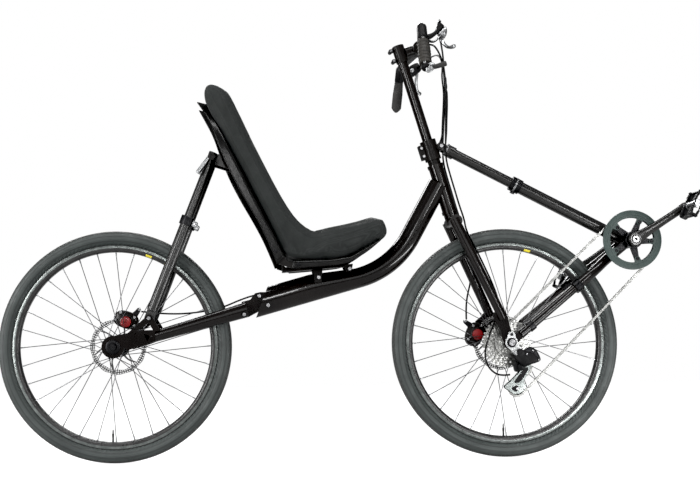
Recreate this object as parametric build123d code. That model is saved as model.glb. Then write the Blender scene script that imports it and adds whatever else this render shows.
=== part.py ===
"""Recumbent bicycle with a front-wheel drive that turns with the steering.

Millimetres, +X forward, +Y to the bicycle's left, +Z up.  Places are written as (x, z) or
(x, y, z) from the rear axle's ground point, and each node is moved at the end so that the
origin is the rider's place on the seat.
"""
from build123d import *
import math
import os

os.makedirs("parts", exist_ok=True)

# ---- driving dimensions -------------------------------------------------------------------
wheelbase = 1100.0
bead_radius = 279.5
tyre_height = 44.5
tyre_width = 46.0
rim_flange = 5.5
rim_depth = 15.0
rim_width = 26.0
rim_wall = 2.2

spoke_count = 32
spoke_diameter = 2.0
flange_radius = 29.0
flange_thickness = 3.2
hub_spacing = 135.0
hub_barrel_radius = 15.0
hub_end_radius = 10.0
axle_radius = 5.0
axle_nut_radius = 9.0
axle_nut_length = 8.0

rotor_radius = 80.0
rotor_band = 14.0
rotor_thickness = 1.8
rotor_y = 52.0
pad_gap = 1.6
caliper_inner_y = 38.0
caliper_reach = 73.3

main_tube_diameter = 57.0
main_tube_rear_depth = 76.0
main_tube_wall = 2.0
main_tube_angle = 15.5
upper_tube_angle = 61.1
main_bend_radius = 238.0
bend_lead = 7.0
anchor_forward = 409.6
anchor_above = 111.5
head_joint_depth = 38.6
seat_behind_bend = 217.0
seat_above_bend = 100.4
stay_rear_half = 14.3
stay_front_half = 21.0
dropout_thickness = 6.0
yoke_half_width = 18.5

steer_angle = 73.3
fork_rake = 37.06
tyre_crown_gap = 31.8
crown_radius = 17.0
crown_below_cup = 26.2
head_tube_diameter = 42.0
head_tube_length = 128.0
steerer_diameter = 28.6
steerer_clearance = 0.05
tube_wall = 3.3
headset_cup_height = 9.0
headset_cup_diameter = 46.0
crown_half = 52.0
blade_end_y = 73.0
blade_top_radius = 15.0
blade_end_radius = 13.0

riser_top = 368.0
clamp_low = 23.2
clamp_length = 58.0
clamp_radius = 23.0
stem_clamp_length = 50.0
stem_clamp_radius = 19.5

boom_outer_diameter = 35.0
boom_inner_diameter = 28.6
boom_outer_length = 365.0
boom_overlap = 95.0
boom_pivot_radius = 12.0
collar_thickness = 3.5
collar_length = 22.0
bb_tyre_gap = 134.2
bb_angle = 38.6
bb_shell_diameter = 42.0
bb_shell_width = 68.0
bb_axle_radius = 8.5
stay_tube_diameter = 24.0
stay_leg_diameter = 28.0
stay_tube_y = 76.0
stay_leg_y = 24.5

chain_pitch = 12.7
chainring_teeth = 38
cog_teeth = (11, 13, 15, 18, 21, 24, 28, 34)
engaged_index = 3
cog_spacing = 4.8
sprocket_thickness = 2.0
tooth_height = 2.0
chain_y = -46.0
chain_inner_half = 1.3
chain_plate = 1.2
chain_height = 7.8
jockey_teeth = 11

crank_length = 170.0
crank_angle = 32.0
crank_inner_y = 71.0
crank_thickness = 14.0
guard_radius = 84.5
guard_width = 21.0
guard_thickness = 3.5
guard_offset = 8.0
spider_bolt_circle = 110.0
pedal_width = 84.0
pedal_length = 80.0
pedal_height = 26.0
pedal_tilt = 66.0
pedal_spindle_radius = 7.0

seat_width = 260.0
shell_wall = 3.0
shell_side_inset = 6.0
soft_gap = 0.3
seat_gap = 0.2
bracket_thickness = 4.0
strut_lower_diameter = 30.0
strut_upper_diameter = 24.4
strut_foot_thickness = 8.0

bar_diameter = 23.8
bar_clamp_diameter = 25.4
grip_diameter = 34.0
lever_place = 0.275
cable_diameter = 5.0
sleeve_diameter = 9.0
fit = 0.05

# ---- reference points ---------------------------------------------------------------------
tyre_radius = bead_radius + tyre_height
rim_outer_radius = bead_radius + rim_flange
rim_inner_radius = bead_radius - rim_depth
rear_axle = (0.0, tyre_radius)
front_axle = (wheelbase, tyre_radius)

steer_cos = math.cos(math.radians(steer_angle))
steer_sin = math.sin(math.radians(steer_angle))
crown_to_axle = math.sqrt((tyre_radius + tyre_crown_gap + crown_radius) ** 2 - fork_rake**2)
crown_height = -head_tube_length - headset_cup_height - crown_below_cup
fork_length = crown_to_axle - crown_height
head_top = (front_axle[0] - fork_length * steer_cos - fork_rake * steer_sin,
            front_axle[1] + fork_length * steer_sin - fork_rake * steer_cos)

stay_length = tyre_radius + bb_tyre_gap
bb_cos = math.cos(math.radians(bb_angle))
bb_sin = math.sin(math.radians(bb_angle))
bottom_bracket = (front_axle[0] + stay_length * bb_cos, front_axle[1] + stay_length * bb_sin)

# the main tube's two lines meet at its bend's corner, and the seat keeps its place over that bend
low = math.radians(main_tube_angle)
up = math.radians(upper_tube_angle)
main_anchor = (rear_axle[0] + anchor_forward, 0.0, rear_axle[1] + anchor_above)
head_joint = (head_top[0] + head_joint_depth * steer_cos, 0.0, head_top[1] - head_joint_depth * steer_sin)
reach_x = head_joint[0] - main_anchor[0]
reach_z = head_joint[2] - main_anchor[2]
rear_run = (reach_x * math.sin(up) - reach_z * math.cos(up)) / math.sin(up - low)
bend_corner = (main_anchor[0] + rear_run * math.cos(low), 0.0, main_anchor[2] + rear_run * math.sin(low))
joint_run = main_bend_radius * math.tan((up - low) / 2) + bend_lead
rider = (bend_corner[0] - seat_behind_bend, 0.0, bend_corner[2] + seat_above_bend)


def pitch_radius(teeth):
    """Radius of a sprocket's pitch circle."""
    return chain_pitch / 2 / math.sin(math.pi / teeth)


def on_steer(height_along, forward=0.0, y=0.0):
    """A point measured up the steering axis from the head tube's top, and forward of it."""
    x = head_top[0] - height_along * steer_cos + forward * steer_sin
    z = head_top[1] + height_along * steer_sin + forward * steer_cos
    return (x, y, z)


def beside(datum, dx, y, dz):
    """A point at an (x, z) offset from a datum, at its own y."""
    return (datum[0] + dx, y, datum[-1] + dz)


def outline_at(datum, points):
    """An (x, z) outline written from a datum."""
    return [(datum[0] + dx, datum[-1] + dz) for dx, dz in points]


def between(start, end, share):
    """A point part of the way from one point to another."""
    return tuple(a + (b - a) * share for a, b in zip(start, end))


def turned(outline, centre, angle):
    """A flat outline turned about its zero point by some degrees and put at a centre."""
    c = math.cos(math.radians(angle))
    s = math.sin(math.radians(angle))
    return [(centre[0] + x * c - z * s, centre[1] + x * s + z * c) for x, z in outline]


def shifted(line, distance):
    """An open (x, z) line moved to its right by a distance, with mitred corners."""
    moved = []
    for i, (x, z) in enumerate(line):
        back = line[max(i - 1, 0)]
        ahead = line[min(i + 1, len(line) - 1)]
        normals = []
        for a, b in ((back, (x, z)), ((x, z), ahead)):
            length = math.dist(a, b)
            if length > 0:
                normals.append(((b[1] - a[1]) / length, (a[0] - b[0]) / length))
        nx = sum(n[0] for n in normals) / len(normals)
        nz = sum(n[1] for n in normals) / len(normals)
        scale = distance / (nx * nx + nz * nz)
        moved.append((x + nx * scale, z + nz * scale))
    return moved


def extended(line, amount):
    """An open (x, z) line made longer at both ends."""
    ends = []
    for end, inner in ((line[0], line[1]), (line[-1], line[-2])):
        share = amount / math.dist(end, inner)
        ends.append((end[0] + (end[0] - inner[0]) * share, end[1] + (end[1] - inner[1]) * share))
    return [ends[0]] + line[1:-1] + [ends[1]]


def height_on(line, x):
    """Height of an (x, z) line at some x."""
    for (x0, z0), (x1, z1) in zip(line, line[1:]):
        if x0 <= x <= x1:
            return z0 + (z1 - z0) * (x - x0) / (x1 - x0)
    return line[-1][1]


# ---- small builders -----------------------------------------------------------------------
def ring(radius, bore=0.0):
    """A disc, or a ring when it has a bore."""
    face = Circle(radius)
    if bore > 0:
        face = face - Circle(bore)
    return face


def plate(outline, y_from, y_to):
    """A flat plate: an (x, z) outline, thick from y_from to y_to."""
    face = make_face(Polyline(*outline, close=True).edges())
    return extrude(Plane.XZ.offset(-y_to) * face, amount=y_to - y_from)


def disc(centre, y_from, y_to, radius, bore=0.0):
    """A round piece with its axis along Y."""
    plane = Plane(origin=(centre[0], y_to, centre[-1]), x_dir=(1, 0, 0), z_dir=(0, -1, 0))
    return extrude(plane * ring(radius, bore), amount=y_to - y_from)


def rod(start, end, radius, bore=0.0):
    """A straight bar or tube between two (x, y, z) points."""
    axis = Vector(*end) - Vector(*start)
    return extrude(Plane(origin=start, z_dir=axis.normalized()) * ring(radius, bore), amount=axis.length)


def cone(start, end, start_radius, end_radius):
    """A straight round bar that changes its radius evenly."""
    axis = (Vector(*end) - Vector(*start)).normalized()
    near = Plane(origin=start, z_dir=axis) * Circle(start_radius)
    far = Plane(origin=end, z_dir=axis) * Circle(end_radius)
    return loft([near, far])


def bent_tube(points, radii, radius, bore=0.0):
    """A tube along straight runs joined by arcs, one radius for each inner point."""
    path = FilletPolyline(*points, radius=radii)
    section = Plane(origin=path @ 0, z_dir=path % 0) * ring(radius, bore)
    return sweep(section, path=path)


def cable(points, diameter=cable_diameter):
    """A cable's tube, each arc as large as its two runs allow."""
    radii = []
    for before, here, after in zip(points, points[1:], points[2:]):
        run_in = Vector(*here) - Vector(*before)
        run_out = Vector(*after) - Vector(*here)
        half_turn = math.radians(run_in.get_angle(run_out)) / 2
        radii.append(0.45 * min(run_in.length, run_out.length) / math.tan(half_turn))
    return bent_tube(points, radii, diameter / 2)


def bolt(centre, y_from, y_to, radius, head_height=4.0):
    """A bolt along Y with a round head at each end, outside y_from and y_to."""
    shank = disc(centre, y_from - head_height, y_to + head_height, radius)
    shank += disc(centre, y_from - head_height, y_from, radius * 1.7)
    return shank + disc(centre, y_to, y_to + head_height, radius * 1.7)


def mirrored(shape):
    """The same piece on the other side of the bicycle."""
    return mirror(shape, about=Plane.XZ)


nodes = {}


def keep(name, *shapes):
    """Keep one node, moved so that the rider's place is the origin."""
    solids = []
    for shape in shapes:
        solids.extend(shape.solids())
    nodes[name] = Compound(children=[Pos(-rider[0], -rider[1], -rider[2]) * s for s in solids])


# ---- wheels -------------------------------------------------------------------------------
def wheel_ring(outline, centre):
    """A (radius, y) outline turned about an axle."""
    face = make_face(Polyline(*outline, close=True).edges())
    return Pos(centre[0], 0, centre[1]) * revolve(face, axis=Axis.Y)


def tyre(centre):
    """Hollow casing whose beads sit inside the rim's flanges."""
    half = tyre_width / 2
    bead = rim_width / 2 - 0.5 - rim_wall - 0.2
    right = [(bead_radius, bead), (rim_outer_radius + 0.8, bead), (tyre_radius - 28, half - 2),
             (tyre_radius - 17, half), (tyre_radius - 6, half - 8), (tyre_radius, 6)]
    inner = [(bead_radius, bead - 2.5), (rim_outer_radius + 3, bead - 2.5), (tyre_radius - 22, half - 2.8),
             (tyre_radius - 4, 5)]
    outline = right + [(r, -y) for r, y in reversed(right)]
    outline = outline + [(r, -y) for r, y in inner] + [(r, y) for r, y in reversed(inner)]
    return wheel_ring(outline, centre)


def rim(centre):
    """Single-wall channel rim."""
    half = rim_width / 2
    outer = [(rim_outer_radius, half), (rim_inner_radius + 8, half - 0.5), (rim_inner_radius, half / 2)]
    inner = [(rim_inner_radius + rim_wall, half / 2 - 1), (rim_inner_radius + 9, half - 0.5 - rim_wall),
             (rim_outer_radius, half - rim_wall)]
    outline = outer + [(r, -y) for r, y in reversed(outer)]
    outline = outline + [(r, -y) for r, y in reversed(inner)] + inner
    return wheel_ring(outline, centre)


def spokes(centre, flanges):
    """Crossed spokes: each flange's holes in turn lean forward and back by three holes."""
    pieces = []
    per_side = spoke_count // 2
    step = 360.0 / per_side
    stand_off = spoke_diameter
    start_r = flange_radius + spoke_diameter / 2 + seat_gap
    end_r = rim_inner_radius - soft_gap
    for side, flange_y in enumerate(flanges):
        for k in range(per_side):
            lean = 1 if k % 2 else -1
            hole = math.radians(k * step + side * step / 2)
            tip = hole + lean * math.radians(3 * step)
            start = (centre[0] + start_r * math.cos(hole), flange_y + lean * stand_off,
                     centre[1] + start_r * math.sin(hole))
            end = (centre[0] + end_r * math.cos(tip), math.copysign(stand_off, flange_y),
                   centre[1] + end_r * math.sin(tip))
            pieces.append(rod(start, end, spoke_diameter / 2))
    return pieces


half_hub = hub_spacing / 2
drop_y = half_hub + seat_gap
drop_outer = drop_y + dropout_thickness


def hub(centre, flanges):
    """Barrel, two flanges and the locknut ends, bored for the axle."""
    bore = axle_radius + fit
    end_y = half_hub - 1.5
    body = disc(centre, min(flanges), max(flanges), hub_barrel_radius, bore)
    for flange_y in flanges:
        body += disc(centre, flange_y - flange_thickness / 2, flange_y + flange_thickness / 2,
                     flange_radius, bore)
    return body + disc(centre, -end_y, end_y, hub_end_radius, bore)


def rotor(centre):
    """Brake disc: an outer track, five arms and a carrier that sits on the hub."""
    y0 = rotor_y - rotor_thickness / 2
    y1 = rotor_y + rotor_thickness / 2
    body = disc(centre, y0, y1, rotor_radius, rotor_radius - rotor_band)
    body += disc(centre, y0, y1, 24.0, hub_end_radius + fit)
    arm_end = rotor_radius - rotor_band + 4
    for k in range(5):
        arm = turned([(20, -5), (arm_end, -4), (arm_end, 4), (20, 5)], centre, 72 * k + 15)
        body += plate(arm, y0, y1)
    return body


def axle(centre, right_end, left_end):
    """Wheel axle with a nut outside the plates that it clamps on each side."""
    body = disc(centre, right_end - axle_nut_length, left_end + axle_nut_length, axle_radius)
    body += disc(centre, right_end - axle_nut_length, right_end, axle_nut_radius)
    return body + disc(centre, left_end, left_end + axle_nut_length, axle_nut_radius)


tab_y = drop_outer + seat_gap
tab_outer = tab_y + dropout_thickness
hanger_y = tab_outer + seat_gap
hanger_outer = hanger_y + bracket_thickness
# columns: name, centre, left and right flange y, y where the right and left nuts start
wheel_table = [("rear", rear_axle, (33.0, -33.0), -drop_outer - seat_gap, drop_outer + seat_gap),
               ("front", front_axle, (33.0, -20.0), -hanger_outer - seat_gap, tab_outer + seat_gap)]
for name, centre, flanges, right_nut, left_nut in wheel_table:
    keep(f"{name}_tyre", tyre(centre))
    keep(f"{name}_rim", rim(centre))
    keep(f"{name}_spokes", *spokes(centre, flanges))
    keep(f"{name}_hub", hub(centre, flanges))
    keep(f"{name}_rotor", rotor(centre))
    keep(f"{name}_axle", axle(centre, right_nut, left_nut))

# ---- cassette -----------------------------------------------------------------------------
cassette = disc(front_axle, chain_y - engaged_index * cog_spacing - 1,
                chain_y + (len(cog_teeth) - 1 - engaged_index) * cog_spacing + 1, 17.0, hub_end_radius + fit)
for k, teeth in enumerate(cog_teeth):
    cog_y = chain_y + (k - engaged_index) * cog_spacing
    cassette += disc(front_axle, cog_y - sprocket_thickness / 2, cog_y + sprocket_thickness / 2,
                     pitch_radius(teeth) + tooth_height, hub_end_radius + fit)
keep("cassette", cassette)

# ---- main tube and head tube --------------------------------------------------------------
main_joint = (bend_corner[0] - joint_run * math.cos(low), 0.0, bend_corner[2] - joint_run * math.sin(low))
top_run = math.dist(bend_corner, head_joint) - 11.5
main_top = (bend_corner[0] + top_run * math.cos(up), 0.0, bend_corner[2] + top_run * math.sin(up))
depth_taper = 130.0
end_allowance = 36.0


def main_tube_body(inset):
    """Round bent tube whose rear end deepens upward to an oval; inset gives its inner skin."""
    r = main_tube_diameter / 2 - inset
    body = bent_tube([main_joint, bend_corner, main_top], [main_bend_radius], r)
    rise = (main_tube_rear_depth - main_tube_diameter) / 2
    back = Plane(origin=main_joint, x_dir=(0, 1, 0), z_dir=(-math.cos(low), 0, -math.sin(low)))
    lift = -1 if back.y_dir.Z < 0 else 1
    near = back * Circle(r)
    far_face = back.offset(depth_taper) * Pos(0, lift * rise) * Ellipse(r, r + rise)
    body += loft([near, far_face])
    body += extrude(far_face, amount=rear_run - joint_run - depth_taper + end_allowance)
    return body


# slanted rear mouth of the tube: its lip runs from (392, 76) up to (424, 161)
mouth_cut = plate(outline_at(rear_axle, [(354, -24), (456, 246), (200, 246), (200, -24)]), -60, 60)
head_tube = rod(on_steer(-head_tube_length), on_steer(0), head_tube_diameter / 2)
head_bore = rod(on_steer(-head_tube_length - 30), on_steer(30), steerer_diameter / 2 + steerer_clearance)
main_tube = main_tube_body(0) - main_tube_body(main_tube_wall) - mouth_cut - head_tube - head_bore
main_tube = max(main_tube.solids(), key=lambda s: s.volume)
cup_bore = steerer_diameter / 2 + steerer_clearance
cup_low = rod(on_steer(-head_tube_length - headset_cup_height), on_steer(-head_tube_length),
              headset_cup_diameter / 2, cup_bore)
cup_high = rod(on_steer(0), on_steer(headset_cup_height), headset_cup_diameter / 2, cup_bore)
keep("head_tube", head_tube - head_bore + cup_low + cup_high)

# ---- rear stays, dropouts and yoke --------------------------------------------------------
stay_rear = beside(rear_axle, 104.0, 66.0, 26.3)
stay_front = beside(rear_axle, 366.0, 30.0, 100.2)
strut_eye = beside(rear_axle, 98.0, 0.0, 78.0)
eye_radius = 10.0
bolt_radius = 4.0
eyelet = beside(rear_axle, 60.0, 0.0, 36.0)
eyelet_radius = 2.1


def rear_stay():
    """Oval tube that deepens towards the yoke."""
    direction = (Vector(*stay_front) - Vector(*stay_rear)).normalized()
    start = Plane(origin=stay_rear, x_dir=(0, 1, 0), z_dir=direction)
    end = Plane(origin=stay_front, x_dir=(0, 1, 0), z_dir=direction)
    return loft([start * Ellipse(8, stay_rear_half), end * Ellipse(11, stay_front_half)])


def rear_dropout():
    """Axle plate with a window, the strut's eye on two legs and a threaded eyelet."""
    body = disc(rear_axle, drop_y, drop_outer, 31.0)
    body += plate(outline_at(rear_axle, [(-8, 29), (77, 45), (114, 46), (116, 16), (87, 5), (40, -9)]),
                  drop_y, drop_outer)
    body -= plate(outline_at(rear_axle, [(84, 35), (100, 30), (94, 14)]), drop_y, drop_outer)
    body += disc(strut_eye, drop_y, drop_outer, eye_radius)
    for leg in ([(92, 84), (103, 70), (50, 30), (38, 36)], [(90, 80), (107, 82), (130, 44), (112, 40)]):
        body += plate(outline_at(rear_axle, leg), drop_y, drop_outer)
    body += disc(eyelet, drop_y, drop_outer, 6.0)
    body -= disc(eyelet, drop_y - 1, drop_outer + 1, eyelet_radius)
    body -= disc(strut_eye, drop_y - 1, drop_outer + 1, bolt_radius + fit)
    return body


yoke_pin = beside(rear_axle, 359, 0, 86)
yoke_bolts = [beside(rear_axle, 401.6, 0, 138.5), beside(rear_axle, 426.2, 0, 112.1)]
pin_bore = disc(yoke_pin, -70, 70, bolt_radius + fit)
axle_bore = disc(rear_axle, drop_y - 1, drop_outer + 1, axle_radius + fit)
rear_stay_left = rear_stay() + rear_dropout() - axle_bore - pin_bore
keep("rear_stay_left", rear_stay_left)
keep("rear_stay_right", mirrored(rear_stay_left))
rear_yoke = plate(outline_at(rear_axle, [(352, 76), (352, 122), (376, 128), (390, 146), (404, 149), (440, 149),
                                         (452, 114), (410, 100), (372, 80)]), -yoke_half_width, yoke_half_width)
rear_yoke -= pin_bore
for place in yoke_bolts:
    rear_yoke -= disc(place, -70, 70, bolt_radius + fit)
keep("rear_yoke", rear_yoke)

# ---- seat struts --------------------------------------------------------------------------
strut_y = drop_y - seat_gap - strut_foot_thickness / 2
strut_foot = (strut_eye[0], strut_y, strut_eye[2])
strut_top = beside(rider, -296.0, 45.0, 210.0)
strut_span = math.dist(strut_foot, strut_top)


def on_strut(share):
    """A point on the left strut's axis, from its foot to the seat's crossbar."""
    return between(strut_foot, strut_top, share)


foot_face = Plane(origin=strut_foot, x_dir=(0, 1, 0),
                  z_dir=(Vector(*strut_top) - Vector(*strut_foot)).normalized())
foot_tongue = extrude(foot_face * Rectangle(strut_foot_thickness, 26.0), amount=36.0)
foot_tongue += disc(strut_eye, strut_y - strut_foot_thickness / 2, strut_y + strut_foot_thickness / 2, 13.0)
strut_lower = rod(on_strut(22 / strut_span), on_strut(0.60), strut_lower_diameter / 2,
                  strut_upper_diameter / 2 + fit)
strut_lower += foot_tongue & plate(outline_at(strut_eye, [(-40, -20), (60, -20), (60, 60), (-40, 60)]),
                                   strut_y - strut_foot_thickness / 2, strut_y + strut_foot_thickness / 2)
strut_lower -= disc(strut_eye, 0, 2 * drop_y, bolt_radius + fit)
crossbar_radius = 8.0
strut_upper = rod(on_strut(0.35), on_strut(1 + 14 / strut_span), strut_upper_diameter / 2, 9.8)
strut_upper -= disc(strut_top, 0, 2 * drop_y, crossbar_radius + fit)
strut_collar = rod(on_strut(0.575), on_strut(0.60), 19.0, strut_lower_diameter / 2 + fit)
strut_collar += rod(on_strut(0.60), on_strut(0.625), 19.0, strut_upper_diameter / 2 + fit)
keep("seat_strut_lower", strut_lower, mirrored(strut_lower))
keep("seat_strut_upper", strut_upper, mirrored(strut_upper))
keep("strut_collars", strut_collar, mirrored(strut_collar))

# ---- seat: cushions, shell and pan --------------------------------------------------------
half_seat = seat_width / 2
half_shell = half_seat - shell_side_inset
# back of the back cushion from its top down, and underside of the seat cushion going forward
back_rest_line = outline_at(rider, [(-305, 357), (-275, 294), (-246, 227), (-209, 157), (-188, 113), (-94, -73.5)])
seat_rest_line = outline_at(rider, [(-75, -84), (26, -82), (82, -74), (166, -27.5)])
pad_front_line = outline_at(rider, [(181, -8), (166, 26), (154, 30), (95, 14), (14, -0.5), (-12, -9), (-33, -4),
                                    (-66, 22), (-104, 79.5), (-163, 195), (-224, 324), (-253, 382), (-269, 399),
                                    (-297, 404), (-310, 390)])
keep("seat_pad", plate(back_rest_line + seat_rest_line + pad_front_line, -half_seat, half_seat))

sheet_far = soft_gap + shell_wall
mount_near = sheet_far + seat_gap
mount_far = mount_near + bracket_thickness
flange_line = outline_at(rider, [(-118, -95), (-134, -54), (-163, 11.5), (-236, 138), (-273, 225), (-295, 294),
                                 (-318, 335), (-335, 363)])
pan_low_line = outline_at(rider, [(161, -37), (130, -63), (87, -88.5), (66, -96.6), (-24, -104), (-77, -108)])


def hollow_moulding(front_line, rim_line, open_way):
    """Sheet along the front line with a flange on each side that reaches the rim line."""
    body = plate(shifted(front_line, soft_gap) + rim_line, -half_shell, half_shell)
    inside = extended(shifted(front_line, sheet_far), 30.0)
    behind = [(x + open_way[0], z + open_way[1]) for x, z in rim_line]
    return body - plate(inside + behind, -half_shell + shell_wall, half_shell - shell_wall)


seat_shell = hollow_moulding(back_rest_line, flange_line, (-40, -12))
seat_pan = hollow_moulding(seat_rest_line, pan_low_line, (0, -40))
lug_y = half_shell - shell_wall - seat_gap
lug_bolts = [beside(rider, -122, 0, -60), beside(rider, -60, 0, -95)]
for place in lug_bolts:
    lug_bore = disc(place, -half_seat, half_seat, 3.0 + fit)
    seat_shell -= lug_bore
    seat_pan -= lug_bore
keep("seat_shell", seat_shell)
keep("seat_pan", seat_pan)

# ---- seat brackets ------------------------------------------------------------------------
rail_line = outline_at(rider, [(-98, -109), (84, -94)])
rail_half = 3.0
rail_half_width = 20.0
ear_y = main_tube_diameter / 2 + 0.7
rail_strip = shifted(rail_line, -rail_half) + shifted(rail_line, rail_half)[::-1]
seat_brackets = plate(rail_strip, -rail_half_width, rail_half_width)
# columns: rear x, front x, ear's lowest z, bolt (x, z)
saddle_table = [(-16, 12, -143, (0.4, -127.7)), (72, 97, -112, (87.9, -104.3))]
tube_bolts = []
for x_rear, x_front, z_low, place in saddle_table:
    deck = height_on(rail_line, rider[0] + x_rear) - rider[2]
    top = outline_at(rider, [(x_rear, deck - 2.5), (x_front, deck), (x_front, deck + 5), (x_rear, deck + 3)])
    seat_brackets += plate(top, -ear_y - bracket_thickness, ear_y + bracket_thickness)
    ear = outline_at(rider, [(x_rear, deck + 3), (x_front, deck + 5), (x_front - 3, z_low), (x_rear + 5, z_low)])
    for side in (-1, 1):
        seat_brackets += plate(ear, *sorted((side * ear_y, side * (ear_y + bracket_thickness))))
    tube_bolts.append(beside(rider, place[0], 0, place[1]))
boss_radius = 8.0
pan_underside = shifted(seat_rest_line, mount_near)
for dx in (-48.0, 42.0):
    x = rider[0] + dx
    floor_z = height_on(rail_line, x)
    boss_top = min(height_on(pan_underside, x - boss_radius), height_on(pan_underside, x + boss_radius))
    seat_brackets += rod((x, 0, floor_z), (x, 0, boss_top), boss_radius)
corner_start = between(back_rest_line[-1], back_rest_line[-2], 0.35)
corner_run = [corner_start, back_rest_line[-1]]
corner_strip = shifted(corner_run, mount_near) + shifted(corner_run, mount_far)[::-1]
seat_brackets += plate(corner_strip, -rail_half_width, rail_half_width)
near_foot = shifted(corner_run, mount_near)[1]
far_foot = shifted(corner_run, mount_far)[1]
rail_end = rail_line[0]
seat_brackets += plate([near_foot, far_foot, (rail_end[0] - 3, rail_end[1] - rail_half),
                        (rail_end[0] + 3, rail_end[1] - rail_half)], -rail_half_width, rail_half_width)
for place in tube_bolts:
    seat_brackets -= disc(place, -60, 60, bolt_radius + fit)
corner_lug = plate(outline_at(rider, [(-134, -54), (-113, -52), (-102, -71), (-88, -89), (-48, -88), (-48, -104),
                                      (-77, -107), (-112, -96)]), lug_y - bracket_thickness, lug_y)
for place in lug_bolts:
    corner_lug -= disc(place, 0, half_seat, 3.0 + fit)
keep("seat_brackets", seat_brackets, corner_lug, mirrored(corner_lug))

top_run_start = between(back_rest_line[2], back_rest_line[3], 0.05)
top_run_end = between(back_rest_line[2], back_rest_line[3], 0.75)
top_mount = [top_run_start, top_run_end]
top_strip = shifted(top_mount, mount_near) + shifted(top_mount, mount_far)[::-1]
top_middle = shifted(top_mount, (mount_near + mount_far) / 2)
seat_top_bracket = plate(top_strip, -34, 34)
ear_outline = outline_at(strut_top, [(-9, -12), (-9, 12)]) + top_middle
ear_inner = strut_top[1] - strut_upper_diameter / 2 - 1.0 - 5.0
for side in (-1, 1):
    seat_top_bracket += plate(ear_outline, *sorted((side * ear_inner, side * (ear_inner + 5.0))))
lever_y = strut_top[1] + strut_upper_diameter / 2 + 4.0
seat_top_bracket += disc(strut_top, -lever_y - 6, lever_y, crossbar_radius)
seat_top_bracket += disc(strut_top, -lever_y - 6, -lever_y, 10.0)
seat_top_bracket += rod(beside(strut_top, 0, -lever_y - 3, 0), beside(strut_top, -33, -lever_y - 3, -46), 3.0)
keep("seat_top_bracket", seat_top_bracket)

# ---- steering assembly --------------------------------------------------------------------
cup_bottom = -head_tube_length - headset_cup_height - seat_gap
clamp_high = clamp_low + clamp_length
steerer_joint = clamp_high - 1.2
steerer = rod(on_steer(crown_height), on_steer(steerer_joint), steerer_diameter / 2,
              steerer_diameter / 2 - tube_wall)
crown = rod(on_steer(crown_height, 0, -crown_half), on_steer(crown_height, 0, crown_half), crown_radius)
crown += rod(on_steer(crown_height - 4), on_steer(cup_bottom), 20.0)
blade_top = on_steer(crown_height + 6, -6, crown_half)
blade_end = beside(front_axle, -19.5, blade_end_y, 66.0)


def on_blade(share, forward, outward):
    """A point off the left blade's axis; mirrored by a negative y for the right one."""
    x, y, z = between(blade_top, blade_end, share)
    return (x + forward * 0.91, y + outward, z + forward * 0.42)


blade = cone(blade_top, blade_end, blade_top_radius, blade_end_radius)
fork_dropout = plate(outline_at(front_axle, [(-50, 76), (-36, 96), (-12, 86), (4, 24), (22, 8), (20, -14),
                                             (2, -24), (-18, -12), (-28, 30)]), drop_y, drop_outer)
caliper_tab = plate(outline_at(front_axle, [(-40, 84), (-68, 62), (-74, 30), (-58, 14), (-26, 26)]),
                    drop_y, drop_outer)
front_axle_bore = disc(front_axle, drop_y - 1, drop_outer + 1, axle_radius + fit)
fork_left = blade + fork_dropout + caliper_tab - front_axle_bore
fork_right = mirrored(blade + fork_dropout - front_axle_bore)
spacer = rod(on_steer(headset_cup_height + seat_gap), on_steer(clamp_low - seat_gap), 18.0,
             steerer_diameter / 2 + fit)
keep("fork", steerer + crown + fork_left + fork_right)

boom_pivot = on_steer(54.1, 30.1)
clamp_body = rod(on_steer(clamp_low), on_steer(clamp_high), clamp_radius)
clamp_body += disc(boom_pivot, -14, 14, boom_pivot_radius)
clamp_body += rod(on_steer(33, 8, 12), on_steer(33, 20, 33), 4.0)
clamp_body += plate([on_steer(clamp_low + 8, -18)[::2], on_steer(clamp_low + 8, -32)[::2],
                     on_steer(clamp_high - 8, -32)[::2], on_steer(clamp_high - 8, -18)[::2]], -12, 12)
clamp_bolts = [on_steer(clamp_low + 17, -26), on_steer(clamp_high - 17, -26)]
clamp_body -= rod(on_steer(clamp_low - 5), on_steer(clamp_high + 5), steerer_diameter / 2 + fit)
for place in clamp_bolts:
    clamp_body -= disc(place, -20, 20, 3.0 + fit)
clamp_body -= disc(boom_pivot, -20, 20, bolt_radius + fit)
keep("boom_clamp", clamp_body, spacer)
riser = rod(on_steer(steerer_joint + seat_gap), on_steer(riser_top), steerer_diameter / 2,
            steerer_diameter / 2 - tube_wall)
keep("riser_post", riser)

boom_end = (bottom_bracket[0], 0.0, bottom_bracket[1])
boom_length = math.dist(boom_pivot, boom_end)


def on_boom(distance, y=0.0):
    """A point on the boom's axis, measured from its pivot."""
    x, _, z = between(boom_pivot, boom_end, distance / boom_length)
    return (x, y, z)


boom_split = boom_length - boom_outer_length
cheek_y = 14.0 + seat_gap
boom_inner = rod(on_boom(26), on_boom(boom_split + boom_overlap), boom_inner_diameter / 2,
                 boom_inner_diameter / 2 - tube_wall)
boom_inner += rod(on_boom(22), on_boom(44), boom_inner_diameter / 2 + 3.5)
along = math.degrees(math.atan2(boom_end[2] - boom_pivot[2], boom_end[0] - boom_pivot[0]))
cheek = plate(turned([(0, -9), (28, -10), (28, 10), (0, 9)], boom_pivot[::2], along), cheek_y, cheek_y + 3.6)
cheek += disc(boom_pivot, cheek_y, cheek_y + 3.6, 9.0)
cheek -= disc(boom_pivot, cheek_y - 1, cheek_y + 5, bolt_radius + fit)
keep("boom_inner", boom_inner + cheek + mirrored(cheek))
boom_outer = rod(on_boom(boom_split), boom_end, boom_outer_diameter / 2, boom_inner_diameter / 2 + fit)
bb_shell = disc(bottom_bracket, -bb_shell_width / 2, bb_shell_width / 2, bb_shell_diameter / 2)
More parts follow.
